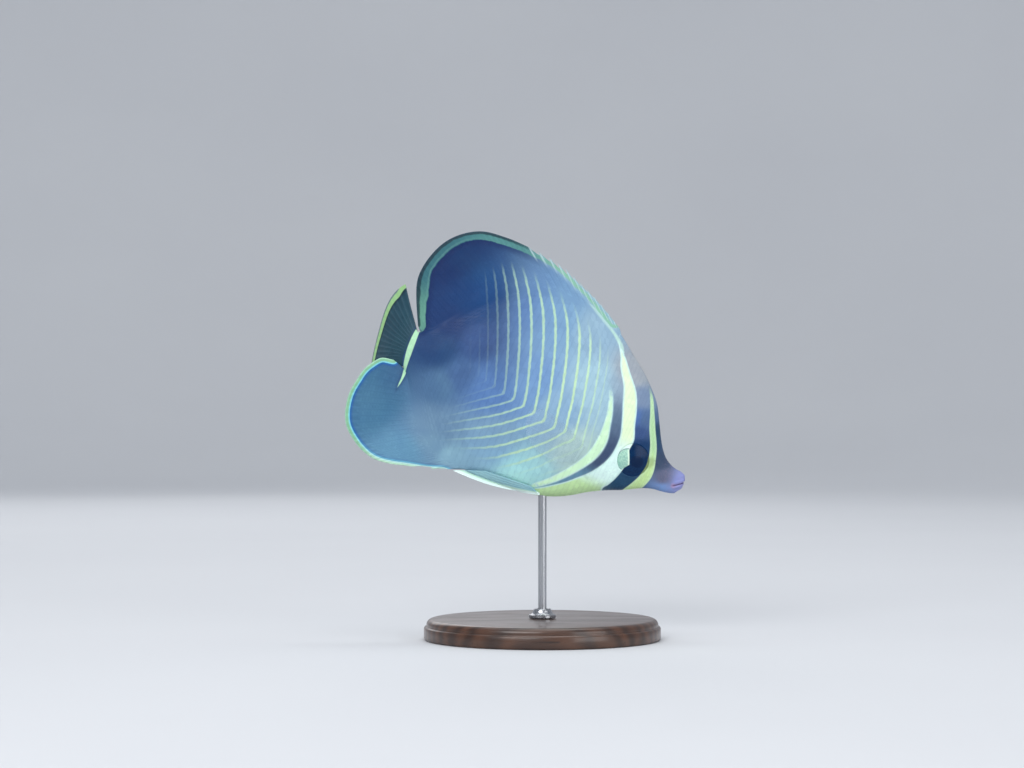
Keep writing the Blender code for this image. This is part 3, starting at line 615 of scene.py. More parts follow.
def spaced(t, low, high):
    """Levels crowded towards a ridge by low or high, 0 even to 1 fully round."""
    b = np.where(t < 0, low, high)
    a = np.abs(t)
    return np.sign(t) * ((1 - b) * a + b * np.sin(math.pi / 2 * a))


def warp_to_orbit(x, z):
    """Draws the mesh's points towards the eye's rim, so that the rim is round."""
    dx, dz = x - EYE[0], z - EYE[1]
    r = np.hypot(dx, dz) + 1e-9
    d = r - EYE_RADIUS
    k = 1 - 0.72 * np.exp(-((d / 1.15) ** 2))
    new = EYE_RADIUS + d * k
    near = r < 10
    return np.where(near, EYE[0] + dx * new / r, x), np.where(near, EYE[1] + dz * new / r, z)


rows_r, rows_l, data = [], [], {"x": [], "z": [], "hind": [], "ray": [], "web": [], "u": [], "level": [], "region": []}
coords, count = [], 0
index = []  # per rib: right and left index at each level


def put(points, x, z, u, level, hind=None, ray=None, web=0.0, region=0):
    global count
    first = count
    n = len(points)
    coords.append(points)
    data["x"].append(np.asarray(x, float) + np.zeros(n))
    data["z"].append(np.asarray(z, float) + np.zeros(n))
    data["hind"].append(np.full(n, 60.0) if hind is None else hind)
    data["ray"].append(np.zeros(n) if ray is None else ray + np.zeros(n))
    data["web"].append(web + np.zeros(n))
    data["u"].append(u + np.zeros(n))
    data["level"].append(level + np.zeros(n))
    data["region"].append(np.full(n, region))
    count += n
    return np.arange(first, first + n)


def body_rib(x_top, x_low, low_round, high_round):
    x = x_low + (x_top - x_low) * (t + 1) / 2
    v = spaced(t, low_round, high_round)
    mid = WIDEST(x)
    z = np.where(v >= 0, mid + v * (BACK(x) - mid), mid - v * (BELLY(x) - mid))
    g = blunt(x)
    z_mid = -3.9
    z = np.where(x > 58.3, z_mid + (z - z_mid) * (0.35 + 0.65 * g), z)
    if 27 < x_top < 49:
        x, z = warp_to_orbit(x, z)
    half = body_half(x, z)
    # The lips' own outline: a notch at the mouth, and a lower lip set a little back.
    if x_top > 56.5:
        q = z - mouth_slit(x)
        set_back = 0.45 * np.exp(-((q / 0.50) ** 2)) + 0.22 * smooth(-0.2, -1.4, q) + 0.15 * smooth(1.2, 2.6, q)
        x = x - smooth(57.6, 59.2, x) * set_back - smooth(56.4, 58.9, x) * 0.75 * smooth(-4.8, -7.4, z)
    return x, z, half


ribs = []
for x in head_x:
    ribs.append(("head", x, x, None))
for n in numbers:
    top = float(DORSAL_BASE(n))
    low = 14.4 + (top - 14.4) * (14.4 + 19.0) / (14.4 + 14.8) if n < SPINES else float(ANAL_BASE(n - SPINES))
    ribs.append(("mid", top, low, n))
for x in tail_x:
    ribs.append(("tail", x, x, None))
for s in fan_s:
    ribs.append(("fan", s, s, None))

for kind, top, low, n in ribs:
    pair = []
    for side in (-1, 1):
        if kind == "fan":
            b = 0.45 * (1 - smooth(0, 0.4, top))
            across = spaced(t, b, b)
            fx, fz, half = fan_surface(across, np.full(levels, top))
            p = bend(fx, side * half, fz)
            length = fx - (FAN_REAR + FAN_CORNER * np.abs(across) ** 3.5) + 1.5 * smooth(0.80, 1.0, np.abs(across))
            body = put(p, fx, fz, station_u(FAN_ROOT - 23 * top), across, hind=length, ray=(across + 1) * 8 + 100, web=top, region=1)
            pair.append((np.full(FIN_LEVELS, body[0]), body, np.full(FIN_LEVELS, body[-1])))
            continue
        if kind == "mid":
            low_round = 0.75 if n < SPINES - 4 else 0.75 - 0.45 * smooth(SPINES - 4, SPINES + 2, n)
            high_round = 0.75 - 0.45 * smooth(0, 4, n)
            back = smooth(DORSAL_RAYS - 6, DORSAL_RAYS, n)
            low_round, high_round = (1 - back) * low_round + back * 0.45, (1 - back) * high_round + back * 0.45
        elif kind == "head":
            low_round = high_round = 0.75
        else:
            low_round = high_round = 0.45
        x, z, half = body_rib(top, low, low_round, high_round)
        level = spaced(t, low_round, high_round)
        if kind == "mid":
            number = np.where(level >= 0, n, n - SPINES + 50.0)
        else:
            number = (level + 1) * 8 + 100 if kind == "tail" else 0.0
        body = put(bend(x, side * half, z), x, z, station_u(x), level, ray=number)
        upper = np.full(FIN_LEVELS, body[-1])
        lower = np.full(FIN_LEVELS, body[0])
        if kind == "mid":
            v = np.linspace(0, 1, FIN_LEVELS + 1)[1:]
            if n > 0:
                m, h, f, fx, fz, hind = fin_surface(np.full(FIN_LEVELS, float(n)), v, "dorsal")
                upper = put(m + side * f * h[:, None], fx, fz, station_u(top), 1 + v, ray=float(n), web=v)
            if n >= SPINES + 1 / 7:
                m, h, f, fx, fz, hind = fin_surface(np.full(FIN_LEVELS, float(n - SPINES)), v, "anal")
                lower = put(m + side * f * h[:, None], fx, fz, station_u(low), -1 - v, ray=float(n - SPINES) + 50, web=v)[::-1]
        pair.append((lower, body, upper))
    index.append([np.concatenate(p) for p in pair])

points = np.concatenate(coords)
for key in data:
    data[key] = np.concatenate(data[key])
right = np.array([i[0] for i in index])
left = np.array([i[1] for i in index])
quads = []
for grid, flip in ((right, False), (left, True)):
    q = np.stack([grid[:-1, :-1], grid[:-1, 1:], grid[1:, 1:], grid[1:, :-1]], axis=-1).reshape(-1, 4)
    quads.append(q[:, ::-1] if flip else q)
sheet_count = sum(len(q) for q in quads)
quads.append(np.stack([right[:-1, -1], left[:-1, -1], left[1:, -1], right[1:, -1]], axis=-1))
quads.append(np.stack([right[:-1, 0], right[1:, 0], left[1:, 0], left[:-1, 0]], axis=-1))
quads.append(np.stack([right[0, :-1], left[0, :-1], left[0, 1:], right[0, 1:]], axis=-1))
quads.append(np.stack([right[-1, :-1], right[-1, 1:], left[-1, 1:], left[-1, :-1]], axis=-1))
quads = np.concatenate(quads)
same = np.stack([quads[:, k] == quads[:, (k + 1) % 4] for k in range(4)], axis=-1)
diagonal = (quads[:, 0] == quads[:, 2]) | (quads[:, 1] == quads[:, 3])
whole = quads[~same.any(axis=1) & ~diagonal]
thin = quads[(same.sum(axis=1) == 1)]
thin_same = same[(same.sum(axis=1) == 1)]
tris = np.array([[q[j] for j in range(4) if not s[j]] for q, s in zip(thin, thin_same)], int).reshape(-1, 3)
tris = tris[(tris[:, 0] != tris[:, 1]) & (tris[:, 1] != tris[:, 2]) & (tris[:, 0] != tris[:, 2])]
faces = turn_out([whole, tris], points)

fan_mask = data["region"] == 1
fields, colour = marks(data["x"], data["z"], "body", ray=data["ray"], web=data["web"])
fan_fields, fan_colour = marks(data["x"][fan_mask], data["z"][fan_mask], "fan", hind=data["hind"][fan_mask], ray=data["ray"][fan_mask], web=data["web"][fan_mask])
for key in fields:
    fields[key][fan_mask] = fan_fields[key]
on_right = np.zeros(len(points), bool)
on_right[np.unique(right)] = True
uv = np.stack([data["u"], np.where(on_right, side_v(data["level"], -1), side_v(data["level"], 1))], axis=-1)
loops = np.concatenate([f.ravel() for f in faces])
corner = uv[loops]
sizes = np.concatenate([np.full(len(f), f.shape[1]) for f in faces])
poly = np.repeat(np.arange(len(sizes)), sizes)
any_right = np.zeros(len(sizes), bool)
np.logical_or.at(any_right, poly, on_right[loops])
stray = any_right[poly] & ~on_right[loops]
corner[stray, 1] -= 0.5  # the thin strips that join the two sides stay on the right's half
fields["tone"] = np.full(len(points), 0.5)
fields["tip"] = np.full(len(points), 0.5)
skin = build("fish_skin", world(points), faces, fields, colour, uv, corner)
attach(skin, "root")
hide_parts("head", "trunk", "tail_base", "gill_cover_right", "gill_cover_left", "upper_jaw", "lower_jaw",
            "dorsal_fin_spiny", "dorsal_fin_soft", "anal_fin", "caudal_fin")


# ---------------------------------------------------------------- scales
# One scale: its outline in (back, up), its top fan's crown, and a thin underside.
arc = np.radians(np.linspace(-78, 78, 7))
outline = np.concatenate([
    [[-1.0, -0.42], [-0.42, -0.93]],
    np.stack([0.12 + 0.88 * np.cos(arc), np.sin(arc)], axis=-1),
    [[-0.42, 0.93], [-1.0, 0.42]],
])
ring_n = len(outline)
shape_u = np.concatenate([outline[:, 0], outline[:, 0], [0.1, 0.1]])
shape_w = np.concatenate([outline[:, 1], outline[:, 1], [0.0, 0.0]])


def lift(u):
    return -0.06 + 0.115 * (u + 1) / 2


shape_h = np.concatenate([lift(outline[:, 0]), lift(outline[:, 0]) - 0.06, [lift(0.1) + 0.022, lift(0.1) - 0.06]])
k = np.arange(ring_n)
k1 = (k + 1) % ring_n
scale_tris = np.concatenate([
    np.stack([k, k1, np.full(ring_n, 2 * ring_n)], axis=-1),
    np.stack([ring_n + k1, ring_n + k, np.full(ring_n, 2 * ring_n + 1)], axis=-1),
    np.stack([k, ring_n + k, ring_n + k1], axis=-1),
    np.stack([k, ring_n + k1, k1], axis=-1),
])
PER = len(shape_u)


def scale_piece(name, centre_xz, place, uv_root, region="body", ray=None, lift_scale=None):
    """Joins scales into one piece. place(u, w) gives each point's place, normal, x and z."""
    p, normal, x, z, seam = place(shape_u[None, :], shape_w[None, :])
    n = len(p)
    h = shape_h[None, :] * (1 if lift_scale is None else lift_scale[:, None])
    # Close to a fin's root the scale sinks into the skin, so that no step shows.
    sunk = smooth(1.7, 0.1, seam)
    h = h * (1 - sunk) - 0.035 * sunk - np.where(np.arange(PER) < ring_n, 0.0, 0.03) * sunk
    pts = (p + normal * h[..., None]).reshape(-1, 3)
    tris = (scale_tris[None] + (np.arange(n) * PER)[:, None, None]).reshape(-1, 3)
    probe = turn_out([tris[: len(scale_tris)]], pts)[0]
    if not np.array_equal(probe, tris[: len(scale_tris)]):
        tris = tris[:, ::-1]
    fields, colour = marks(x, z, region, ray=None if ray is None else np.repeat(ray, PER))
    fields["tone"] = np.repeat(rng.random(n), PER)
    fields["tip"] = np.tile((shape_u + 1) / 2, n)
    uv = (uv_root[:, None, :] + np.stack([-shape_u, shape_w], axis=-1)[None] * 0.0015).reshape(-1, 2)
    made = build(name, world(pts), [tris], fields, colour, uv)
    made.data.set_sharp_from_angle(angle=math.radians(48))
    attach(made, "root")
    return made


SCALE_LONG, SCALE_HIGH = 2.25, 2.45  # spacing of full-size scales along and across, mm


def scale_size(x):
    return np.clip((BACK(x) - BELLY(x)) / 74.0, 0.34, 1.0)


# Arc length round the section, so that scales can be carried over the nape and the keel.
GIRTH_X = np.linspace(-22, 55.5, 180)
GIRTH = {}
for half_of, end_f in (("upper", BACK), ("lower", BELLY)):
    q = np.linspace(0, 1, 60)
    gx = np.repeat(GIRTH_X[:, None], 60, axis=1)
    gz = WIDEST(gx) + (end_f(gx) - WIDEST(gx)) * np.sin(q * math.pi / 2)
    gy = half_width(gx, gz)
    arc_at = np.concatenate([np.zeros((180, 1)), np.cumsum(np.hypot(np.diff(gy), np.diff(gz)), axis=1)], axis=1)
    even = np.linspace(0, 1, 60)
    GIRTH[half_of] = (arc_at[:, -1] + gy[:, -1], np.stack([np.interp(even * (row[-1] + y), row, q) for row, y in zip(arc_at, gy[:, -1])]))


def round_body(x, arc, half_of, side):
    """The skin at an arc length up or down from the widest height, past the ridge if need be."""
    back = arc < 0
    if back.any():
        p, z = np.zeros((*np.shape(x), 3)), np.zeros(np.shape(x))
        other = "lower" if half_of == "upper" else "upper"
        finned = (x < 13.5) if other == "upper" else (x < -19.5)
        p[~back], z[~back] = round_body(x[~back], arc[~back], half_of, side)
        for mask, flat in ((back & finned, True), (back & ~finned, False)):
            if mask.any():
                if flat:
                    z[mask] = WIDEST(x[mask]) - arc[mask] * (1 if half_of == "lower" else -1)
                    p[mask] = flank(x[mask], z[mask], side)
                else:
                    p[mask], z[mask] = round_body(x[mask], -arc[mask], other, side)
        return p, z
    total, table = GIRTH[half_of]
    i = np.clip((x - GIRTH_X[0]) / (GIRTH_X[1] - GIRTH_X[0]), 0, 178.999)
    k = i.astype(int)
    f = i - k
    length = total[k] * (1 - f) + total[k + 1] * f
    share = arc / length
    over = share > 1
    share = np.clip(np.where(over, 2 - share, share), 0, 1)
    j = np.clip(share * 59, 0, 58.999)
    m = j.astype(int)
    g = j - m
    q = (table[k, m] * (1 - g) + table[k, m + 1] * g) * (1 - f) + (table[k + 1, m] * (1 - g) + table[k + 1, m + 1] * g) * f
    end = BACK(x) if half_of == "upper" else BELLY(x)
    z = WIDEST(x) + (end - WIDEST(x)) * np.sin(q * math.pi / 2)
    # Close to the ridge the flat crest is crossed at full height.
    crest = np.clip((1 - share) * length / np.maximum(body_half(x, end), 0.05), 0, 1)
    half = np.minimum(body_half(x, z), np.where(crest < 1, body_half(x, end) * crest, 99))
    half = np.where(crest < 1, np.minimum(half, body_half(x, end) * crest), body_half(x, z))
    return bend(x, np.where(over, -side, side) * half, z), z


stations = [52.2]
while stations[-1] > -56.3:
    stations.append(stations[-1] - SCALE_LONG * float(scale_size(stations[-1])))


def clear_of_features(x, z, s):
    """True where a scale may sit: not over the eye, gill slit, nostrils or fin root."""
    d, a = cover_distance(x, z)
    keep = np.hypot(x - EYE[0], z - EYE[1]) > EYE_RADIUS + 0.75 + 1.0 * s
    keep &= ~((np.abs(d - 0.3) < 0.42 + 0.42 * s) & (a < 0))
    for nx, nz in ((45.35, 0.35), (46.35, -0.55)):
        keep &= np.hypot(x - nx, z - nz) > 0.95
    t = np.clip((-5.2 - z) / 7.0, 0, 1)
    keep &= ~((np.abs(x - 18.6 + 1.2 * t) < 1.1 + 0.8 * s) & (z < -3.6) & (z > -13.8))
    return keep


def body_scales(side):
    """Flat rows on the flank, and rows carried round the nape and the keel."""
    made = {"flat": [[], [], []], "upper": [[], [], []], "lower": [[], [], []]}
    for i, x in enumerate(stations):
        s = float(scale_size(x))
        step = SCALE_HIGH * s
        mid = float(WIDEST(x))
        offset = 0.5 if i % 2 else 0.0
        up_round, low_round = x > 13.5, x > -19.5
        if up_round:
            arc = (np.arange(0, 60) + offset) * step
            length = float(np.interp(x, GIRTH_X, GIRTH["upper"][0]))
            arc = arc[arc < length + 0.25 * step]
            for row, v in zip(made["upper"], (np.full(len(arc), x), arc, np.full(len(arc), s))):
                row.append(v)
        if low_round:
            arc = (np.arange(1, 60) - offset) * step
            length = float(np.interp(x, GIRTH_X, GIRTH["lower"][0]))
            arc = arc[arc < length + 0.25 * step]
            for row, v in zip(made["lower"], (np.full(len(arc), x), arc, np.full(len(arc), s))):
                row.append(v)
        z = mid + (np.arange(-40, 41) + offset) * step
        z = z[(~(z >= mid) | (not up_round)) & (~(z < mid) | (not low_round))]
        top = float(BACK(x)) + (0.30 if -54.0 < x < 13.0 else -0.25) * s
        low = float(BELLY(x)) - (0.30 if -54.0 < x < -21.5 else -0.25) * s
        z = z[(z < top) & (z > low)]
        for row, v in zip(made["flat"], (np.full(len(z), x), z, np.full(len(z), s))):
            row.append(v)
    groups = {}
    for key, rows in made.items():
        x, v, s = (np.concatenate(r) for r in rows)
        x = x + rng.normal(0, 0.05, len(x)) * s
        v = v + rng.normal(0, 0.05, len(v)) * s
        z = v if key == "flat" else round_body(x, v, key, side)[1]
        keep = clear_of_features(x, z, s)
        groups[key] = tuple(q[keep] for q in (x, v, s, z))
    x, v, s, z = (np.concatenate([groups[key][i] for key in ("flat", "upper", "lower")]) for i in range(4))
    kinds = np.concatenate([np.full(len(groups[key][0]), i) for i, key in enumerate(("flat", "upper", "lower"))])
    long, high = SCALE_LONG * s * 0.98, SCALE_HIGH * s * 0.60
    up = np.clip((z - WIDEST(x)) / (BACK(x) - WIDEST(x)), 0, 1)
    down = np.clip((z - WIDEST(x)) / (BELLY(x) - WIDEST(x)), 0, 1)
    slope_up = (BACK(x - 1) - BACK(x + 1)) / 2
    slope_down = (BELLY(x - 1) - BELLY(x + 1)) / 2
    flat_lean = np.arctan(np.clip(slope_up * up**1.5 + slope_down * down**1.5, -1.0, 1.0))
    lean = np.where(kinds == 0, flat_lean, 0.0)
    c, sn = np.cos(lean)[:, None], np.sin(lean)[:, None]

    def at(px, pv, kind):
        if kind == 0:
            top = np.where((px < 13.6) & (px > -54.8), BACK(px) - 0.01, BACK(px) - 0.02)
            low = np.where((px < -20.5) & (px > -54.8), BELLY(px) + 0.01, BELLY(px) + 0.02)
            pz = np.clip(pv, low, top)
            return flank(px, pz, side), pz
        return round_body(px, pv, "upper" if kind == 1 else "lower", side)

    def place(u, w):
        shape = (len(x), u.shape[1])
        p, normal, gz = np.zeros((*shape, 3)), np.zeros((*shape, 3)), np.zeros(shape)
        du, dw = u * long[:, None], w * high[:, None]
        px = x[:, None] - du * c - dw * sn
        pv = v[:, None] + du * sn + dw * c
        for kind in (0, 1, 2):
            m = kinds == kind
            e = 0.12
            qx, qv = px[m], pv[m]
            here, hz = at(qx, qv, kind)
            ax = at(qx + e, qv, kind)[0] - at(qx - e, qv, kind)[0]
            az = at(qx, qv + e, kind)[0] - at(qx, qv - e, kind)[0]
            nn = np.cross(ax, az)
            nn /= np.linalg.norm(nn, axis=-1, keepdims=True) + 1e-12
            # Outward is away from the section's middle.
            out = here - np.stack([here[..., 0], bend(qx, 0 * qx, hz)[..., 1], np.clip(hz, BELLY(qx) + 3, BACK(qx) - 3)], axis=-1)
            nn = np.where((nn * out).sum(-1, keepdims=True) < 0, -nn, nn)
            p[m], normal[m], gz[m] = here, nn, hz
        seam = np.where(px < 13.6, BACK(px) - gz, 9.0)
        seam = np.minimum(seam, np.where(px < -20.0, gz - BELLY(px), 9.0))
        return p, normal, px, gz, seam

    level = np.where(z > WIDEST(x), up, -down)
    root = np.stack([station_u(x), side_v(level, side)], axis=-1)
    return scale_piece("scales_right" if side < 0 else "scales_left", (x, z), place, root, lift_scale=0.55 + 0.45 * s)


def fin_scales(side, which):
    """Small scales in rows up the rays, to where the clear edge starts."""
    first, last = (0.6, 37.6) if which == "dorsal" else (0.4, 25.6)
    spines = SPINES if which == "dorsal" else ANAL_SPINES
    number, v, size, reach_at = [], [], [], []
    base_f = DORSAL_BASE if which == "dorsal" else ANAL_BASE
    row = 0
    n = first
    while n < last:
        nn = np.array([n])
        reach = float(np.hypot(*(np.array([(DORSAL_X if which == "dorsal" else ANAL_X)(n) - base_f(n),
                                           (DORSAL_Z if which == "dorsal" else ANAL_Z)(n) - (BACK if which == "dorsal" else BELLY)(base_f(n))]))))
        pitch = max(0.5, abs(float(base_f(n + 0.25) - base_f(n - 0.25))) * 2)
        long = 1.30
        limit = 0.52 if n < spines else 0.84
        steps = int(reach * limit / (long * 0.9))
        for j in range(steps):
            place_v = (j + 0.15 + 0.5 * (row % 2)) * long * 0.9 / reach
            if place_v < limit:
                number.append(n)
                v.append(place_v)
                size.append(long * (1.05 - 0.35 * place_v))
                reach_at.append(reach)
        n += 0.5
        row += 1
    number, v, size, reach_at = (np.array(q) for q in (number, v, size, reach_at))
    number = number + rng.normal(0, 0.02, len(number))
    half_n = 0.34

    def place(u, w):
        nn = np.clip(number[:, None] + w * half_n * 0.98, 0.02, (DORSAL_RAYS if which == "dorsal" else ANAL_RAYS) - 0.02)
        vv = np.clip(v[:, None] + u * (size / reach_at)[:, None], 0.0, 0.98)
        m, h, f, fx, fz, _ = fin_surface(nn, vv, which, ray_relief=False)
        return m + side * f * h[..., None], side * f, fx, fz, vv * reach_at[:, None]

    sign = 1 if which == "dorsal" else -1
    root = np.stack([station_u(base_f(number)), side_v(sign * (1 + v), side)], axis=-1)
    _, _, _, cx, cz, _ = fin_surface(number, v, which, ray_relief=False)
    word = "right" if side < 0 else "left"
    return scale_piece(f"scales_{which}_{word}", (cx, cz), place, root, lift_scale=np.full(len(number), 0.42))


def fan_scales(side):
    across, along = [], []
    for j in range(9):
        n = 30
        a = -0.94 + 1.88 * (np.arange(n) + (0.5 if j % 2 else 0)) / n
        across.append(a)
        along.append(np.full(n, 0.01 + 0.045 * j))
    across, along = np.concatenate(across), np.concatenate(along)

    def place(u, w):
        a = np.clip(across[:, None] + w * 0.042, -0.99, 0.99)
        s = np.clip(along[:, None] + u * 0.045, 0, 1)
        fx, fz, half = fan_surface(a, s, ray_relief=False)
        p = bend(fx, side * half, fz)
        _, _, ang = sweep(BEND_START - fx, fz)
        normal = side * np.stack([np.sin(ang), np.cos(ang), 0 * ang], axis=-1)
        return p, normal, fx, fz, 9.0 + 0 * fx

    fx, fz, _ = fan_surface(across, along, ray_relief=False)
    root = np.stack([station_u(FAN_ROOT - 23 * along), side_v(across, side)], axis=-1)
    word = "right" if side < 0 else "left"
    return scale_piece(f"scales_tail_{word}", (fx, fz), place, root, region="fan", lift_scale=np.full(len(fx), 0.38))


coat = []
for side in (-1, 1):
    coat.append(body_scales(side))
    coat.append(fin_scales(side, "dorsal"))
    coat.append(fin_scales(side, "anal"))
    coat.append(fan_scales(side))


# ---------------------------------------------------------------- eyes
def eye(word, side):
    """A low dome with the iris painted on it, with the ball's edge turned in under the orbit's fold."""
    rings, turns = 26, 72
    r = np.concatenate([np.linspace(0.0, 1.0, rings) ** 0.9 * (EYE_RADIUS + 0.02), EYE_RADIUS * np.cos(np.linspace(0.1, 1.45, 9))])
    h = np.concatenate([-0.36 + 1.42 * np.cos(np.linspace(0, 1.0, rings) ** 0.9 * math.pi / 2) ** 1.15, -0.43 - 3.3 * np.sin(np.linspace(0.1, 1.45, 9))])
    a = np.linspace(0, 2 * math.pi, turns, endpoint=False)
    ex = r[:, None] * np.cos(a)
    ez = r[:, None] * np.sin(a)
    hh = h[:, None] + 0 * ex
    # The eye's axis turns a little forward and down.
    turn, tip = EYE_TURN, math.radians(3.0)
    y = hh * math.cos(turn) - ex * math.sin(turn)
    x = ex * math.cos(turn) + hh * math.sin(turn)
    z = ez * math.cos(tip) - hh * math.sin(tip)
    y = y + ez * math.sin(tip)
    cheek = float(half_width(np.array(EYE[0]), np.array(EYE[1])))
    p = np.stack([EYE[0] + x, side * (cheek + y), EYE[1] + z], axis=-1).reshape(-1, 3)
    n = len(r)
    grid = np.arange(n * turns).reshape(n, turns)
    q = np.stack([grid[1:-1], np.roll(grid, -1, 1)[1:-1], np.roll(grid, -1, 1)[2:], grid[2:]], axis=-1).reshape(-1, 4)
    last = len(p)
    p = np.concatenate([p, p[grid[-1]].mean(axis=0, keepdims=True)])
    top = np.stack([np.full(turns, grid[0, 0]), np.roll(grid[1], -1), grid[1]], axis=-1)
    end = np.stack([np.full(turns, last), grid[-1], np.roll(grid[-1], -1)], axis=-1)
    keep = np.ones(len(p), bool)
    keep[grid[0, 1:]] = False
    remap = np.cumsum(keep) - 1
    faces = [remap[q], remap[np.concatenate([top, end])]]
    p = p[keep]
    local = np.stack([np.append(ex.ravel(), 0.0), np.append(ez.ravel(), 0.0)], axis=-1)[keep]
    depth = np.append(hh.ravel(), -3.8)[keep]
    faces = turn_out(faces, p)
    flat_x, flat_z = EYE[0] + local[:, 0], EYE[1] + local[:, 1]
    bars = {"bar_a": inside(BAR_A, flat_x, flat_z), "bar_d": inside(BAR_D, flat_x, flat_z)}
    made = build("eyeball_" + word, world(p), faces, {"ex": local[:, 0], "ez": local[:, 1], "eh": depth, **bars}, uv=local / 14 + 0.5)
    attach(made, "root")
    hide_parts("eye_" + word)
    return made


eyes = [eye("right", -1), eye("left", 1)]

# ---------------------------------------------------------------- paired fins
PECTORAL_ROOT = ((19.0, -5.2), (17.8, -12.2))
PECTORAL_REACH, PECTORAL_OUT = 25.0, math.radians(10.0)
PELVIC_ROOT, PELVIC_TIP = (10.6, 6.4), (-23.0, -34.0)


PECTORAL_ROUND = through(
    (0, 0.50), (0.05, 0.72), (0.13, 0.90), (0.26, 0.985), (0.42, 0.96), (0.60, 0.84), (0.76, 0.66), (0.88, 0.48), (0.96, 0.33), (1, 0.22),
)


def pectoral_middle(u, v, side):
    (x0, z0), (x1, z1) = PECTORAL_ROOT
    bx, bz = x0 + (x1 - x0) * u, z0 + (z1 - z0) * u
    lean = np.radians(24.0 - 46.0 * u)
    long = PECTORAL_REACH * PECTORAL_ROUND(u)
    x = bx - long * v * np.cos(lean)
    z = bz + long * v * np.sin(lean)
    foot = half_width(bx, bz) + 0.35
    y = foot + long * v * math.tan(PECTORAL_OUT) * (0.55 + 0.45 * v) - 0.25 * np.sin(math.pi * v) + 0.5 * smooth(0, 0.15, v)
    return np.stack([x, side * y, z], axis=-1)


def pelvic_middle(u, v, side):
    bx = PELVIC_ROOT[0] + (PELVIC_ROOT[1] - PELVIC_ROOT[0]) * u
    bz = BELLY(bx) + 0.8 + 2.3 * u
    tx = PELVIC_TIP[0] + 11.5 * u**1.2
    tz = PELVIC_TIP[1] + 5.0 * u**1.1
    x = bx + (tx - bx) * v
    z = bz + (tz - bz) * v - 1.7 * np.sin(math.pi * v) * (1 - u)
    flank = np.where(z > BELLY(x), half_width(x, np.maximum(z, BELLY(x) + 0.02)), 0.0)
    y = np.maximum(1.15 + flank * 0.97 + 0.25, flank + 0.68)
    return np.stack([x, side * y, z], axis=-1)


def sheet_piece(name, middle, half, fields, node):
    """A closed thin fin from a grid of middles and half thicknesses."""
    rows, cols = half.shape
    du = np.gradient(middle, axis=0)
    dv = np.gradient(middle, axis=1)
    normal = np.cross(du, dv)
    normal /= np.linalg.norm(normal, axis=-1, keepdims=True) + 1e-12
    a, b = middle + normal * half[..., None], middle - normal * half[..., None]
    n = rows * cols
    pts = np.concatenate([a.reshape(-1, 3), b.reshape(-1, 3)])
    g = np.arange(n).reshape(rows, cols)
    q = np.stack([g[:-1, :-1], g[:-1, 1:], g[1:, 1:], g[1:, :-1]], axis=-1).reshape(-1, 4)
    rim = np.concatenate([g[0, :], g[1:, -1], g[-1, -2::-1], g[-2:0:-1, 0]])
    nxt = np.roll(rim, -1)
    faces = turn_out([np.concatenate([q, (q + n)[:, ::-1], np.stack([nxt, rim, rim + n, nxt + n], axis=-1)])], pts)
    uu, vv = np.meshgrid(np.linspace(0.02, 0.46, rows), np.linspace(0.02, 0.98, cols), indexing="ij")
    uv = np.concatenate([np.stack([uu, vv], -1).reshape(-1, 2), np.stack([uu + 0.5, vv], -1).reshape(-1, 2)])
    both = {key: np.concatenate([val.ravel(), val.ravel()]) for key, val in fields.items()}
    made = build(name, world(pts), faces, both, uv=uv)
    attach(made, "root")
    if node:
        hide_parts(node)
    return made


def ray_ridges(n, width):
    d = np.abs(n - np.round(n))
    return np.exp(-((d / width) ** 2))


paired = []
for side, word in ((-1, "right"), (1, "left")):
    u, v = np.meshgrid(np.linspace(0, 1, 113), np.linspace(0, 1, 34), indexing="ij")
    edge = 1 - 0.018 * (1 - ray_ridges(u * 14, 0.3))
    middle = pectoral_middle(u, v * edge, side)
    half = 0.045 + 0.30 * (1 - smooth(0, 0.16, v)) + (0.05 + 0.10 * (1 - v)) * ray_ridges(u * 14, 0.17) * smooth(1.02, 0.7, v)
    paired.append(("clear", sheet_piece("pectoral_" + word, middle, half, {"ray": u * 14, "out": v}, "pectoral_fin_" + word)))
    u, v = np.meshgrid(np.linspace(0, 1, 61), np.linspace(0, 1, 70), indexing="ij")
    middle = pelvic_middle(u, v, side)
    half = 0.10 + 0.20 * (1 - v) ** 2 * (1 - u) + 0.09 * ray_ridges(u * 5.4, 0.22) * (1 - 0.6 * v) + 0.14 * np.exp(-((u / 0.06) ** 2)) * (1 - v)
    paired.append(("pale", sheet_piece("pelvic_" + word, middle, half, {"ray": u * 5.4, "out": v}, "pelvic_fin_" + word)))


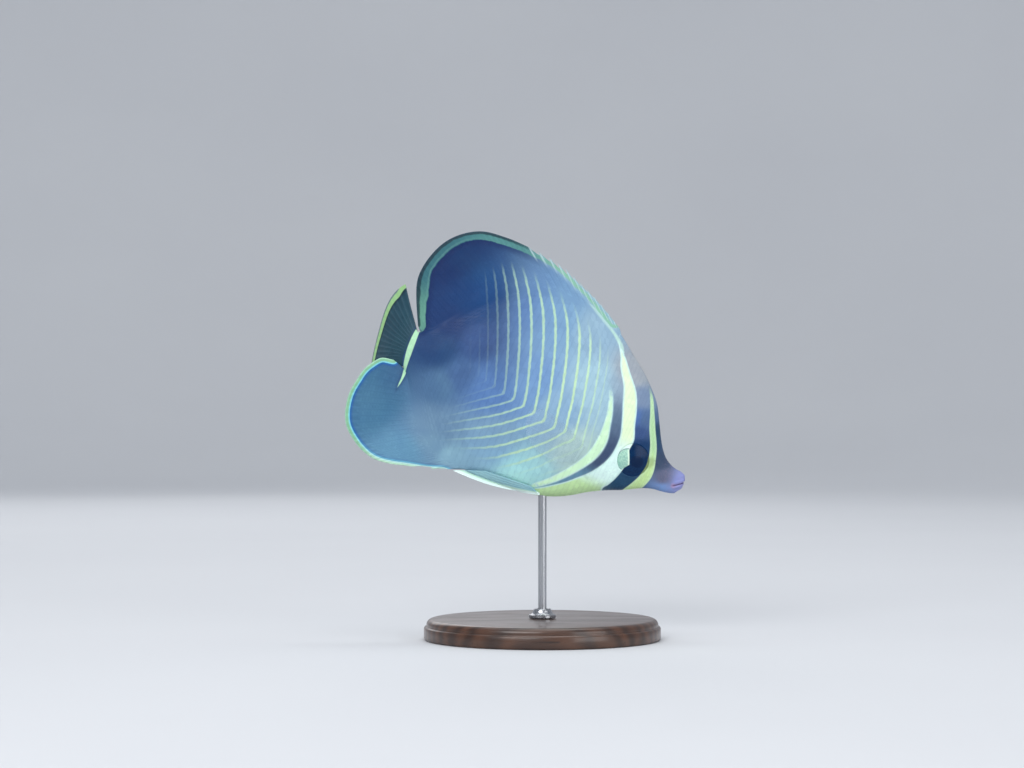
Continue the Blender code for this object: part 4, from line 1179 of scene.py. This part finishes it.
# ---------------------------------------------------------------- materials
class Nodes:
    """Short calls for building a node tree."""

    def __init__(self, name):
        self.mat = bpy.data.materials.new(name)
        self.mat.use_nodes = True
        self.tree = self.mat.node_tree
        self.tree.nodes.clear()
        self.out = self.tree.nodes.new("ShaderNodeOutputMaterial")
        self.bsdf = self.tree.nodes.new("ShaderNodeBsdfPrincipled")
        self.tree.links.new(self.bsdf.outputs[0], self.out.inputs["Surface"])

    def link(self, a, b):
        self.tree.links.new(a, b)

    def set(self, name, value):
        socket = self.bsdf.inputs[name]
        if isinstance(value, bpy.types.NodeSocket):
            self.link(value, socket)
        else:
            socket.default_value = value

    def value(self, name):
        node = self.tree.nodes.new("ShaderNodeAttribute")
        node.attribute_name = name
        return node.outputs["Fac"]

    def colour(self, name):
        node = self.tree.nodes.new("ShaderNodeAttribute")
        node.attribute_name = name
        return node.outputs["Color"]

    def math(self, op, a, b=None, c=None, clamp=False):
        node = self.tree.nodes.new("ShaderNodeMath")
        node.operation = op
        node.use_clamp = clamp
        for socket, v in zip(node.inputs, (a, b, c)):
            if v is None:
                continue
            if isinstance(v, bpy.types.NodeSocket):
                self.link(v, socket)
            else:
                socket.default_value = v
        return node.outputs[0]

    def step(self, v, a, b, lo=0.0, hi=1.0):
        """Smoothly from lo at a to hi at b."""
        node = self.tree.nodes.new("ShaderNodeMapRange")
        node.interpolation_type = "SMOOTHSTEP"
        if b < a:
            a, b, lo, hi = b, a, hi, lo
        self.link(v, node.inputs["Value"])
        for key, val in (("From Min", a), ("From Max", b), ("To Min", lo), ("To Max", hi)):
            node.inputs[key].default_value = val
        return node.outputs["Result"]

    def mix(self, fac, a, b, blend="MIX"):
        node = self.tree.nodes.new("ShaderNodeMix")
        node.data_type = "RGBA"
        node.blend_type = blend
        for socket, v in ((node.inputs["Factor"], fac), (node.inputs[6], a), (node.inputs[7], b)):
            if isinstance(v, bpy.types.NodeSocket):
                self.link(v, socket)
            elif isinstance(v, (int, float)):
                socket.default_value = v
            else:
                socket.default_value = (*v, 1.0)
        return node.outputs[2]

    def noise(self, scale, detail=3.0, rough=0.5, vector=None, distortion=0.0):
        node = self.tree.nodes.new("ShaderNodeTexNoise")
        node.inputs["Scale"].default_value = scale
        node.inputs["Detail"].default_value = detail
        node.inputs["Roughness"].default_value = rough
        node.inputs["Distortion"].default_value = distortion
        if vector is None:
            vector = self.coords()
        self.link(vector, node.inputs["Vector"])
        return node.outputs["Fac"]

    def coords(self):
        return self.tree.nodes.new("ShaderNodeTexCoord").outputs["Object"]

    def stretch(self, vector, scale):
        node = self.tree.nodes.new("ShaderNodeMapping")
        self.link(vector, node.inputs["Vector"])
        node.inputs["Scale"].default_value = scale
        return node.outputs["Vector"]

    def bump(self, height, distance, strength=1.0, normal=None):
        node = self.tree.nodes.new("ShaderNodeBump")
        node.inputs["Distance"].default_value = distance
        node.inputs["Strength"].default_value = strength
        self.link(height, node.inputs["Height"])
        if normal is not None:
            self.link(normal, node.inputs["Normal"])
        return node.outputs["Normal"]


def fish_material(name, scales):
    """Ground tones, chevrons, bars and fin margins, all from the smooth fields."""
    n = Nodes(name)
    c = n.colour("ground")
    fx, fz = n.value("fx"), n.value("fz")
    blotch = n.noise(90, 3, 0.55)
    c = n.mix(n.step(blotch, 0.35, 0.65, 0.0, 0.22), c, n.mix(1.0, c, srgb(196, 208, 236), "MULTIPLY"))
    # Chevrons: pale lines at each whole number of the field, soft at their edges.
    line = n.math("ABSOLUTE", n.math("SUBTRACT", n.math("FRACT", n.math("ADD", n.value("chev"), 0.5)), 0.5))
    wave = n.noise(420, 2, 0.5)
    line = n.math("ADD", line, n.math("MULTIPLY", n.math("SUBTRACT", wave, 0.5), 0.016))
    on = n.value("chev_on")
    c = n.mix(n.math("MULTIPLY", n.step(line, 0.155, 0.050), on), c, n.mix(n.step(fx, -16.0, 8.0), srgb(172, 208, 184), srgb(196, 230, 188)))
    # The thread between the dorsal fin's band and bar A.
    lace = n.math("SUBTRACT", n.value("thread_h"), n.math("ABSOLUTE", n.value("thread")))
    c = n.mix(n.math("MULTIPLY", n.step(lace, -0.45, 0.35), n.step(fx, 4.0, 17.0, 0.60, 0.80)), c, srgb(198, 234, 216))
    # Bars of the head.
    b_tone = n.mix(n.step(fz, -3.0, 9.0), srgb(56, 72, 106), srgb(92, 114, 140))
    b_tone = n.mix(n.step(fz, 9.0, 22.0), b_tone, srgb(144, 162, 182))
    b_tone = n.mix(n.step(fz, -9.0, -16.0), b_tone, srgb(99, 140, 166))
    b_high = n.step(fz, 12.0, 21.0)
    b_edge = n.mix(b_high, n.step(n.value("bar_b1"), -0.35, 0.65), n.step(n.value("bar_b1"), -2.2, 2.4))
    b_on = n.math("MULTIPLY", b_edge, n.step(n.value("bar_b2"), -0.35, 0.65))
    c = n.mix(n.math("MULTIPLY", b_on, n.math("MULTIPLY", n.value("bar_b_on"), 0.96)), c, b_tone)
    c_tone = n.mix(n.step(n.value("bar_c"), 0.0, 0.8), srgb(202, 236, 224), srgb(212, 248, 208))
    c = n.mix(n.math("MULTIPLY", n.step(n.value("bar_c"), -0.22, 0.28), n.step(fz, 21.0, 13.0)), c, c_tone)
    a_tone = n.mix(n.step(fz, -3.0, 6.0), srgb(226, 255, 246), srgb(232, 252, 210))
    a_tone = n.mix(n.step(fz, -19.0, -13.0), srgb(204, 240, 178), a_tone)
    # Painted highlight: a bluish-white rim along both edges of bar A.
    a_tone = n.mix(n.step(n.value("bar_a"), 0.10, 0.95), srgb(208, 240, 234), a_tone)
    c = n.mix(n.step(n.value("bar_a"), -0.20, 0.22), c, a_tone)
    d_tone = n.mix(n.step(fz, -2.0, 6.0), srgb(202, 234, 164), srgb(180, 222, 166))
    d_tone = n.mix(n.math("MULTIPLY", n.step(n.value("bar_d"), 1.3, 0.2), 0.5), d_tone, srgb(206, 236, 200))
    c = n.mix(n.math("MULTIPLY", n.step(n.value("bar_d"), -0.20, 0.22), n.step(fz, 26.0, 21.0)), c, d_tone)
    olive = n.math("SQRT", n.math("ADD", n.math("POWER", n.math("SUBTRACT", fx, 44.2), 2.0), n.math("POWER", n.math("MULTIPLY", n.math("SUBTRACT", fz, -0.7), 0.62), 2.0)))
    c = n.mix(n.math("MULTIPLY", n.step(olive, 2.0, 0.7), 0.5), c, srgb(134, 158, 104))
    # Snout: mauve, and lavender at the lips that is partly their own tone and partly a painted highlight on the rounded
    # tip, with a rosy corner of the mouth.
    snout = n.step(fx, 47.5, 50.5)
    mott = n.noise(1300, 4, 0.6)
    c = n.mix(n.math("MULTIPLY", n.math("MULTIPLY", snout, 0.22), n.step(mott, 0.4, 0.65)), c, srgb(140, 124, 148))
    # Lighter lavender towards the tip: partly the lips' own tone, partly a painted highlight on the rounded snout.
    c = n.mix(n.math("MULTIPLY", n.step(fx, 51.0, 58.6), 0.6), c, srgb(140, 144, 196))
    rosy = n.math("SQRT", n.math("ADD", n.math("POWER", n.math("SUBTRACT", fx, 55.6), 2.0), n.math("POWER", n.math("SUBTRACT", fz, -5.3), 2.0)))
    c = n.mix(n.math("MULTIPLY", n.step(rosy, 1.5, 0.2), 0.45), c, srgb(186, 136, 156))
    # A paler band along the lip rolls: partly their own lilac, partly a painted highlight.
    q = n.math("ADD", fz, n.math("ADD", 2.55, n.math("MULTIPLY", n.math("SUBTRACT", 59.2, fx), 0.78)))
    q = n.math("ABSOLUTE", q)
    c = n.mix(n.math("MULTIPLY", n.step(q, 1.15, 0.5), n.math("MULTIPLY", n.step(fx, 55.4, 56.6), 0.35)), c, srgb(174, 160, 206))
    # Painted shade: a dark line in the closed mouth's slit, between the lip rolls.
    c = n.mix(n.math("MULTIPLY", n.step(q, 0.34, 0.12), n.math("MULTIPLY", n.step(fx, 55.2, 56.0), 0.6)), c, srgb(84, 62, 92))
    # Fin margins.
    d = n.value("edge_d")
    ray = n.value("ray")
    thread = n.math("ABSOLUTE", n.math("SUBTRACT", n.math("FRACT", n.math("ADD", ray, 0.5)), 0.5))
    spiny = n.step(fx, -34.0, -12.0)
    has_ray = n.step(n.value("web"), 0.02, 0.14)
    spine = n.math("MULTIPLY", n.math("MULTIPLY", n.step(ray, 12.6, 12.3), n.step(ray, 0.3, 0.6)), has_ray)
    ragged = n.math("MULTIPLY", n.math("SUBTRACT", n.noise(340, 3, 0.6), 0.5), 0.9)
    rim = d
    lobe = n.math("MULTIPLY", n.math("MULTIPLY", n.step(fz, 50.0, 40.0), n.step(fz, 14.0, 20.0)), 0.65)
    lobe = n.math("ADD", lobe, n.math("MULTIPLY", n.step(fz, 32.0, 27.0), n.step(fz, 19.0, 24.0)))
    lobe = n.math("MULTIPLY", lobe, n.step(fx, -50.0, -57.0))
    lobe = n.math("ADD", lobe, n.math("MULTIPLY", n.step(fx, -30.0, -46.0), 0.6))
    d = n.math("ADD", d, ragged)
    rim_dark = n.math("SUBTRACT", d, n.math("MULTIPLY", lobe, 0.35))
    d = n.math("SUBTRACT", d, lobe)
    rear = n.step(fx, -44.0, -60.0)
    pale = n.mix(rear, srgb(84, 140, 138), srgb(58, 110, 118))
    pale = n.mix(n.math("MULTIPLY", rear, n.step(n.math("ABSOLUTE", n.math("SUBTRACT", d, 2.0)), 0.5, 0.15, 0.0, 0.28)), pale, srgb(114, 166, 158))
    pale = n.mix(n.math("MULTIPLY", rear, n.step(fz, 30.0, 14.0)), pale, srgb(104, 160, 140))
    pale = n.mix(spiny, pale, srgb(142, 194, 168))
    c = n.mix(n.math("MULTIPLY", n.step(d, 5.5, 2.6), n.math("MULTIPLY", n.step(fx, -16.0, -36.0), 0.6)), c, srgb(20, 40, 88))
    c = n.mix(n.math("MULTIPLY", n.step(d, 4.2, 2.4), n.math("MULTIPLY", spiny, 0.35)), c, srgb(172, 204, 214))
    c = n.mix(n.step(d, 2.75, 2.30), c, pale)
    c = n.mix(n.math("MULTIPLY", n.step(d, 1.55, 1.05), n.math("MULTIPLY", spiny, 0.85)), c, srgb(150, 186, 204))
    c = n.mix(n.math("MULTIPLY", n.step(rim_dark, 1.15, 0.60), n.math("MULTIPLY", n.step(fx, -22.0, -40.0), 0.85)), c, srgb(24, 44, 58))
    c = n.mix(n.math("MULTIPLY", n.step(rim, 0.34, 0.14), n.math("MULTIPLY", n.step(fx, -30.0, -46.0), 0.6)), c, srgb(70, 92, 110))
    # Spines: pale shafts with whitish tips that stand clear of the membrane.
    c = n.mix(n.math("MULTIPLY", spine, n.math("MULTIPLY", n.step(thread, 0.20, 0.09), n.step(d, 4.2, 1.6, 0.0, 0.55))), c, srgb(200, 222, 226))
    a = n.math("ADD", n.value("edge_a"), n.step(fx, -28.0, -19.5, 0.0, 2.6))
    low_front = n.math("MULTIPLY", n.step(fx, -64.0, -48.0), n.step(fz, -24.0, -34.0))
    a = n.math("ADD", a, n.math("ADD", n.step(fx, -63.0, -47.0, 0.0, 0.5), n.step(fx, -47.0, -33.0, 0.0, 0.3)))
    c = n.mix(n.math("MULTIPLY", n.step(a, 3.3, 2.3), n.step(fx, -62.0, -48.0, 0.4, 0.2)), c, srgb(40, 84, 158))
    c = n.mix(n.math("MULTIPLY", n.step(a, 2.50, 2.15), n.step(fx, -62.0, -48.0, 0.9, 0.7)), c, n.mix(low_front, srgb(42, 104, 172), srgb(112, 186, 214)))
    c = n.mix(n.step(a, 1.90, 1.60), c, n.mix(low_front, srgb(138, 216, 224), srgb(190, 236, 226)))
    c = n.mix(n.step(a, 1.40, 1.10), c, n.mix(low_front, srgb(142, 198, 156), srgb(190, 230, 200)))
    c = n.mix(n.math("MULTIPLY", n.step(a, 0.50, 0.28), n.step(fx, -48.0, -60.0)), c, srgb(172, 220, 188))
    # Tail: dusky fan with a yellow band before a clear edge, and the bar at its root.
    fan = n.value("fan")
    t = n.value("edge_t")
    fan_tone = n.mix(n.noise(260, 2, 0.5), srgb(35, 65, 80), srgb(49, 85, 98))
    c = n.mix(fan, c, fan_tone)
    c = n.mix(n.math("MULTIPLY", n.step(t, 3.9, 2.9), fan), c, srgb(30, 52, 66))
    c = n.mix(n.math("MULTIPLY", n.step(t, 2.75, 2.45), fan), c, srgb(164, 210, 144))
    c = n.mix(n.math("MULTIPLY", n.step(t, 0.75, 0.55), fan), c, srgb(120, 142, 140))
    tail_bar = n.math("SUBTRACT", n.value("bar_h"), n.math("ABSOLUTE", n.value("bar_t")))
    tail_bar = n.math("MINIMUM", tail_bar, n.math("SUBTRACT", 9.3, fz))
    c = n.mix(n.math("MULTIPLY", n.step(tail_bar, -1.3, -0.2), 0.45), c, srgb(44, 66, 110))
    c = n.mix(n.step(tail_bar, -0.16, 0.2), c, srgb(182, 230, 188))
    # Rays: fine light and dark threads out along every fin.
    c = n.mix(n.math("MULTIPLY", n.step(thread, 0.22, 0.06), n.math("MULTIPLY", n.math("MULTIPLY", fan, has_ray), 0.05)), c, srgb(150, 180, 200))
    c = n.mix(n.math("MULTIPLY", n.step(thread, 0.30, 0.48), n.math("MULTIPLY", has_ray, 0.05)), c, srgb(30, 46, 84))
    if scales:
        tip, tone = n.value("tip"), n.value("tone")
        bare = n.step(fx, 51.0, 46.0)
        c = n.mix(n.math("MULTIPLY", tone, n.math("MULTIPLY", bare, 0.28)), c, n.mix(1.0, c, srgb(210, 214, 224), "MULTIPLY"))
        c = n.mix(n.math("MULTIPLY", bare, n.step(tip, 0.84, 1.0, 0.0, 0.14)), c, n.mix(1.0, c, srgb(120, 134, 176), "MULTIPLY"))
        c = n.mix(n.math("MULTIPLY", bare, n.step(tip, 0.60, 0.30, 0.0, 0.12)), c, n.mix(1.0, c, srgb(132, 144, 180), "MULTIPLY"))
    else:
        bare = n.step(fx, 51.0, 46.0)
        c = n.mix(n.math("MULTIPLY", bare, 0.20), c, n.mix(1.0, c, srgb(186, 194, 212), "MULTIPLY"))
    n.set("Base Color", c)
    grain = n.noise(1500, 4, 0.6)
    rough = n.step(n.noise(300, 3, 0.5), 0.3, 0.7, 0.38, 0.52)
    n.set("Roughness", rough)
    n.set("Specular IOR Level", 0.17)
    n.set("Coat Weight", 0.02)
    n.set("Coat Roughness", 0.25)
    height = n.bump(grain, 0.00006, 0.5)
    if scales:
        rings = n.math("SINE", n.math("MULTIPLY", n.value("tip"), 46.0))
        height = n.bump(rings, 0.00003, 0.35, height)
    else:
        seg = n.math("MULTIPLY", n.step(thread, 0.34, 0.10), has_ray)
        height = n.bump(seg, 0.00012, 0.6, height)
    n.set("Normal", height)
    return n.mat


skin_look = fish_material("fish_skin_look", False)
scale_look = fish_material("fish_scale_look", True)
skin.data.materials.append(skin_look)
for piece in coat:
    piece.data.materials.append(scale_look)


def eye_material():
    n = Nodes("eye_look")
    ex, ez = n.value("ex"), n.value("ez")
    tip = math.cos(PITCH), math.sin(PITCH)
    level = n.math("ADD", n.math("MULTIPLY", ex, tip[0]), n.math("MULTIPLY", ez, tip[1]))
    height = n.math("SUBTRACT", n.math("MULTIPLY", ez, tip[0]), n.math("MULTIPLY", ex, tip[1]))

    def ring(a, b, ca, cb):
        da, db = n.math("SUBTRACT", a, ca), n.math("SUBTRACT", b, cb)
        return n.math("SQRT", n.math("ADD", n.math("MULTIPLY", da, da), n.math("MULTIPLY", db, db)))

    pr = ring(n.math("MULTIPLY", ex, 0.90), ez, 1.25, 0.1)
    streak = n.noise(1500, 4, 0.6)
    speck = n.noise(3600, 3, 0.5)
    c = n.mix(n.step(streak, 0.35, 0.65), srgb(2, 36, 72), srgb(5, 45, 84))
    # The pale bar runs on over the rear of the eye.
    c = n.mix(n.step(n.value("bar_a"), -0.20, 0.22), c, srgb(224, 252, 240))
    # Where the bar D touches the front of the eye, the iris is olive.
    c = n.mix(n.step(n.value("bar_d"), -0.25, 0.35), c, n.mix(streak, srgb(110, 130, 88), srgb(150, 170, 112)))
    # Rear of the iris: grey green in a round window, with a painted highlight, a bright glint line, along its front
    # edge.
    window = ring(level, height, -1.95, 0.12)
    slant = n.math("SUBTRACT", n.math("SUBTRACT", height, n.math("MULTIPLY", level, 0.667)), -0.42)
    open_to = n.math("MULTIPLY", n.step(level, -1.50, -1.80), n.step(slant, -0.15, 0.15))
    green = n.mix(n.step(streak, 0.3, 0.7), srgb(138, 188, 172), srgb(184, 225, 204))
    green = n.mix(n.step(speck, 0.55, 0.7, 0.0, 0.4), green, srgb(206, 232, 204))
    green = n.mix(n.step(height, 3.2, -3.0, 0.0, 0.35), green, srgb(116, 166, 160))
    c = n.mix(n.math("MULTIPLY", n.step(n.math("ABSOLUTE", n.math("SUBTRACT", window, 4.32)), 0.36, 0.10), n.math("MULTIPLY", n.step(level, -1.2, -2.0, 0.0, 0.7), n.step(slant, -0.35, 0.10))), c, srgb(66, 96, 106))
    c = n.mix(n.math("MULTIPLY", n.step(window, 4.30, 4.10), open_to), c, green)
    # Painted highlight: a bright glint line down the window's front edge.
    edge = n.math("MULTIPLY", n.step(n.math("ABSOLUTE", n.math("ADD", level, 1.98)), 0.42, 0.14), n.step(window, 4.2, 3.8))
    c = n.mix(n.math("MULTIPLY", edge, n.math("MULTIPLY", n.step(slant, -0.1, 0.3), 0.8)), c, srgb(226, 248, 224))
    # Pupil, a little forward.
    c = n.mix(n.step(pr, 2.40, 2.05), c, srgb(0, 31, 66))
    n.set("Base Color", c)
    n.set("Roughness", 0.24)
    n.set("IOR", 1.34)
    n.set("Specular IOR Level", 0.30)
    return n.mat


eye_look = eye_material()
for piece in eyes:
    piece.data.materials.append(eye_look)


def fin_material(name, dark, light, alpha, rough, leading=None, depth=0.00012):
    n = Nodes(name)
    ray = n.value("ray")
    thread = n.math("ABSOLUTE", n.math("SUBTRACT", n.math("FRACT", n.math("ADD", ray, 0.5)), 0.5))
    blotch = n.noise(220, 3, 0.5)
    c = n.mix(n.step(blotch, 0.3, 0.7), dark, light)
    c = n.mix(n.step(thread, 0.30, 0.10, 0.0, 0.75), c, light)
    c = n.mix(n.step(n.value("out"), 0.0, 0.12, 0.35, 0.0), c, dark)
    if leading:
        c = n.mix(n.step(ray, 2.5, 1.6), c, leading[1])
        c = n.mix(n.step(ray, 1.55, 0.95), c, leading[0])
    n.set("Base Color", c)
    n.set("Roughness", rough)
    n.set("Alpha", alpha)
    n.set("Coat Weight", 0.2)
    n.set("Coat Roughness", 0.2)
    fine = n.math("SINE", n.math("MULTIPLY", n.value("out"), 210.0))
    h = n.bump(n.math("MULTIPLY", n.step(thread, 0.30, 0.05), n.math("ADD", n.math("MULTIPLY", fine, 0.2), 1.0)), depth, 0.7)
    n.set("Normal", n.bump(n.noise(1400, 3, 0.5), 0.00004, 0.5, h))
    return n.mat


clear_look = fin_material("pectoral_look", srgb(136, 164, 198), srgb(176, 204, 216), 0.09, 0.3)
pale_look = fin_material("pelvic_look", srgb(134, 186, 200), srgb(150, 198, 206), 1.0, 0.45, (srgb(232, 255, 250), srgb(196, 236, 214)), 0.00005)
for kind, piece in paired:
    piece.data.materials.append(clear_look if kind == "clear" else pale_look)


# ---------------------------------------------------------------- stand
def turned(name, profile, turns):
    """A closed turned solid from (radius, height) in mm, bottom centre to top centre."""
    profile = np.array(profile, float)
    a = np.linspace(0, 2 * math.pi, turns, endpoint=False)
    body = profile[1:-1]
    p = np.stack([body[:, :1] * np.cos(a), body[:, :1] * np.sin(a), body[:, 1:] + 0 * a], axis=-1).reshape(-1, 3)
    g = np.arange(len(body) * turns).reshape(len(body), turns)
    q = np.stack([g[:-1], np.roll(g, -1, 1)[:-1], np.roll(g, -1, 1)[1:], g[1:]], axis=-1).reshape(-1, 4)
    low, high = len(p), len(p) + 1
    p = np.concatenate([p, [[0, 0, profile[0, 1]], [0, 0, profile[-1, 1]]]])
    tri = np.concatenate([
        np.stack([np.full(turns, low), np.roll(g[0], -1), g[0]], axis=-1),
        np.stack([np.full(turns, high), g[-1], np.roll(g[-1], -1)], axis=-1),
    ])
    return build(name, p * MM, turn_out([q, tri], p))


BASE_R, BASE_H = 45.0, 8.0
edge = [(0, 0), (BASE_R - 0.9, 0.0), (BASE_R - 0.3, 0.25), (BASE_R, 0.9), (BASE_R, 4.4), (BASE_R - 0.25, 4.9), (BASE_R - 0.9, 5.15),
        (BASE_R - 0.95, 5.35), (BASE_R - 0.95, 5.7)]
edge += [(BASE_R - 0.95 - 2.2 * (1 - math.cos(k * math.pi / 20)), 5.7 + 2.2 * math.sin(k * math.pi / 20)) for k in range(1, 11)]
edge += [(BASE_R - 4.2, BASE_H), (6.0, BASE_H), (0, BASE_H)]
plinth = turned("plinth", edge, 160)
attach(plinth, "root")
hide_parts("stand_base")
plinth.data.set_sharp_from_angle(angle=math.radians(50))


def lathe_ring(name, profile, turns, node):
    """A turned ring from a closed profile of (radius, height) in mm."""
    profile = np.array(profile, float)
    a = np.linspace(0, 2 * math.pi, turns, endpoint=False)
    p = np.stack([profile[:, :1] * np.cos(a), profile[:, :1] * np.sin(a), profile[:, 1:] + 0 * a], axis=-1).reshape(-1, 3)
    g = np.arange(len(p)).reshape(len(profile), turns)
    nxt = np.roll(g, -1, 0)
    q = np.stack([g, np.roll(g, -1, 1), np.roll(nxt, -1, 1), nxt], axis=-1).reshape(-1, 4)
    made = build(name, p * MM, turn_out([q], p))
    made.data.set_sharp_from_angle(angle=math.radians(40))
    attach(made, "root")
    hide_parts(node)
    return made


rod_low, rod_high = (v[2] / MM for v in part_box("stand_rod"))
ROD_R = 1.6
post = turned("post", [(0, rod_low), (ROD_R - 0.2, rod_low), (ROD_R, rod_low + 0.2), (ROD_R, rod_high - 0.3), (ROD_R - 0.3, rod_high), (0, rod_high)], 56)
post.data.set_sharp_from_angle(angle=math.radians(40))
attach(post, "root")
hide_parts("stand_rod")
c_low = BASE_H + 0.3
flange = [(ROD_R + 0.3, c_low), (5.0, c_low), (5.2, c_low + 0.2), (5.2, c_low + 1.1)]
flange += [(5.2 - 1.7 * math.sin(k * math.pi / 16), c_low + 1.1 + 1.9 * (1 - math.cos(k * math.pi / 16))) for k in range(1, 8)]
flange += [(3.3, c_low + 3.2), (3.1, c_low + 3.4), (ROD_R + 0.3, c_low + 3.4)]
collar = lathe_ring("post_flange", flange, 72, "stand_collar")


def wood_material():
    n = Nodes("base_wood_look")
    pos = n.coords()
    wobble = n.noise(26, 3, 0.5, n.stretch(pos, (1.0, 3.2, 1.0)), 0.4)
    rings = n.tree.nodes.new("ShaderNodeTexWave")
    rings.bands_direction = "Y"
    rings.inputs["Scale"].default_value = 62
    rings.inputs["Distortion"].default_value = 5.0
    rings.inputs["Detail"].default_value = 3.0
    rings.inputs["Detail Scale"].default_value = 1.4
    n.link(n.stretch(pos, (0.22, 1.0, 1.0)), rings.inputs["Vector"])
    pores = n.noise(900, 3, 0.6, n.stretch(pos, (0.05, 1.0, 1.0)))
    c = n.mix(rings.outputs["Fac"], srgb(56, 36, 26), srgb(92, 60, 42))
    c = n.mix(n.step(wobble, 0.3, 0.7, 0.0, 0.5), c, srgb(44, 28, 21))
    c = n.mix(n.step(pores, 0.60, 0.72, 0.0, 0.65), c, srgb(24, 15, 11))
    n.set("Base Color", c)
    n.set("Roughness", n.step(wobble, 0.3, 0.7, 0.30, 0.42))
    n.set("Coat Weight", 0.35)
    n.set("Coat Roughness", 0.14)
    n.set("Normal", n.bump(pores, 0.00005, 0.5))
    return n.mat


def steel_material():
    n = Nodes("rod_steel_look")
    pos = n.coords()
    brush = n.noise(1600, 4, 0.6, n.stretch(pos, (1.0, 1.0, 0.03)))
    c = n.mix(brush, srgb(150, 152, 156), srgb(198, 200, 204))
    n.set("Base Color", c)
    n.set("Metallic", 1.0)
    n.set("Roughness", n.step(brush, 0.3, 0.7, 0.20, 0.34))
    n.set("Normal", n.bump(brush, 0.00002, 0.4))
    return n.mat


plinth.data.materials.append(wood_material())
steel = steel_material()
for piece in (post, collar):
    piece.data.materials.append(steel)

# ---------------------------------------------------------------- floor, light, camera
PIXEL = 0.38  # mm of fish for each pixel of a 1024 pixel frame
CAMERA_X = SHIFT + (512 - 544.7) * PIXEL
CAMERA_Z = LIFT + (413.3 - 384) * PIXEL
LENS = 100.0
distance = LENS * 1024 * PIXEL / 36.0

cam = bpy.data.cameras.new("camera")
cam.lens = LENS
cam.sensor_width = 36.0
cam.clip_start = 0.01
camera = bpy.data.objects.new("camera", cam)
camera.location = (CAMERA_X * MM, -distance * MM, CAMERA_Z * MM)
camera.rotation_euler = (math.pi / 2, 0.0, 0.0)
bpy.context.scene.collection.objects.link(camera)
bpy.context.scene.camera = camera
bpy.context.scene.view_settings.view_transform = "Standard"

# A seamless pale bowl: a flat floor, a wide curve, then a wall all round.
bowl_rim = [(0.0, 0.0), (0.3, 0.0), (1.5, 0.0)]
bowl_rim += [(1.5 + 1.0 * math.sin(k * math.pi / 36), 1.0 - 1.0 * math.cos(k * math.pi / 36)) for k in range(1, 19)]
bowl_rim += [(2.5, 2.9)]
turns = 96
ring_a = np.linspace(0, 2 * math.pi, turns, endpoint=False)
body = np.array(bowl_rim[1:])
pts = np.stack([body[:, :1] * np.cos(ring_a), body[:, :1] * np.sin(ring_a), body[:, 1:] + 0 * ring_a], axis=-1).reshape(-1, 3)
g = np.arange(len(pts)).reshape(len(body), turns)
quads = np.stack([g[1:], np.roll(g, -1, 1)[1:], np.roll(g, -1, 1)[:-1], g[:-1]], axis=-1).reshape(-1, 4)
pts = np.concatenate([pts, [[0.0, 0.0, 0.0]]])
hub = np.stack([np.full(turns, len(pts) - 1), g[0], np.roll(g[0], -1)], axis=-1)
sweep_obj = build("floor_bowl", pts, [quads, hub])
n = Nodes("floor_look")
tone = n.noise(3.0, 3, 0.5)
n.set("Base Color", n.mix(tone, srgb(202, 204, 208), srgb(210, 212, 215)))
n.set("Roughness", 0.85)
sweep_obj.data.materials.append(n.mat)


def lamp(name, place, aim, size, power, tint=(1, 1, 1)):
    light = bpy.data.lights.new(name, "AREA")
    light.shape = "RECTANGLE"
    light.size, light.size_y = size
    light.energy = power
    light.color = tint
    obj = bpy.data.objects.new(name, light)
    obj.location = place
    direction = np.array(aim, float) - np.array(place, float)
    from mathutils import Vector
    obj.rotation_euler = Vector(direction).to_track_quat("-Z", "Y").to_euler()
    bpy.context.scene.collection.objects.link(obj)


centre = (0, 0, 0.1)
lamp("key", (-0.50, -1.15, 0.80), centre, (0.9, 0.7), 11.3)
lamp("fill", (0.95, -0.9, 0.40), centre, (0.8, 0.8), 5.3)
lamp("top", (0.1, -0.05, 1.3), centre, (1.2, 0.9), 6.4)
lamp("rear", (-0.35, 1.2, 0.7), centre, (0.9, 0.7), 2.6)
lamp("wall", (0.0, 0.5, 2.2), (0.0, 2.2, 0.5), (2.4, 0.8), 13)

sky = bpy.data.worlds.new("studio")
bpy.context.scene.world = sky
sky.use_nodes = True
sky.node_tree.nodes["Background"].inputs["Color"].default_value = (0.80, 0.86, 0.95, 1.0)
sky.node_tree.nodes["Background"].inputs["Strength"].default_value = 0.54
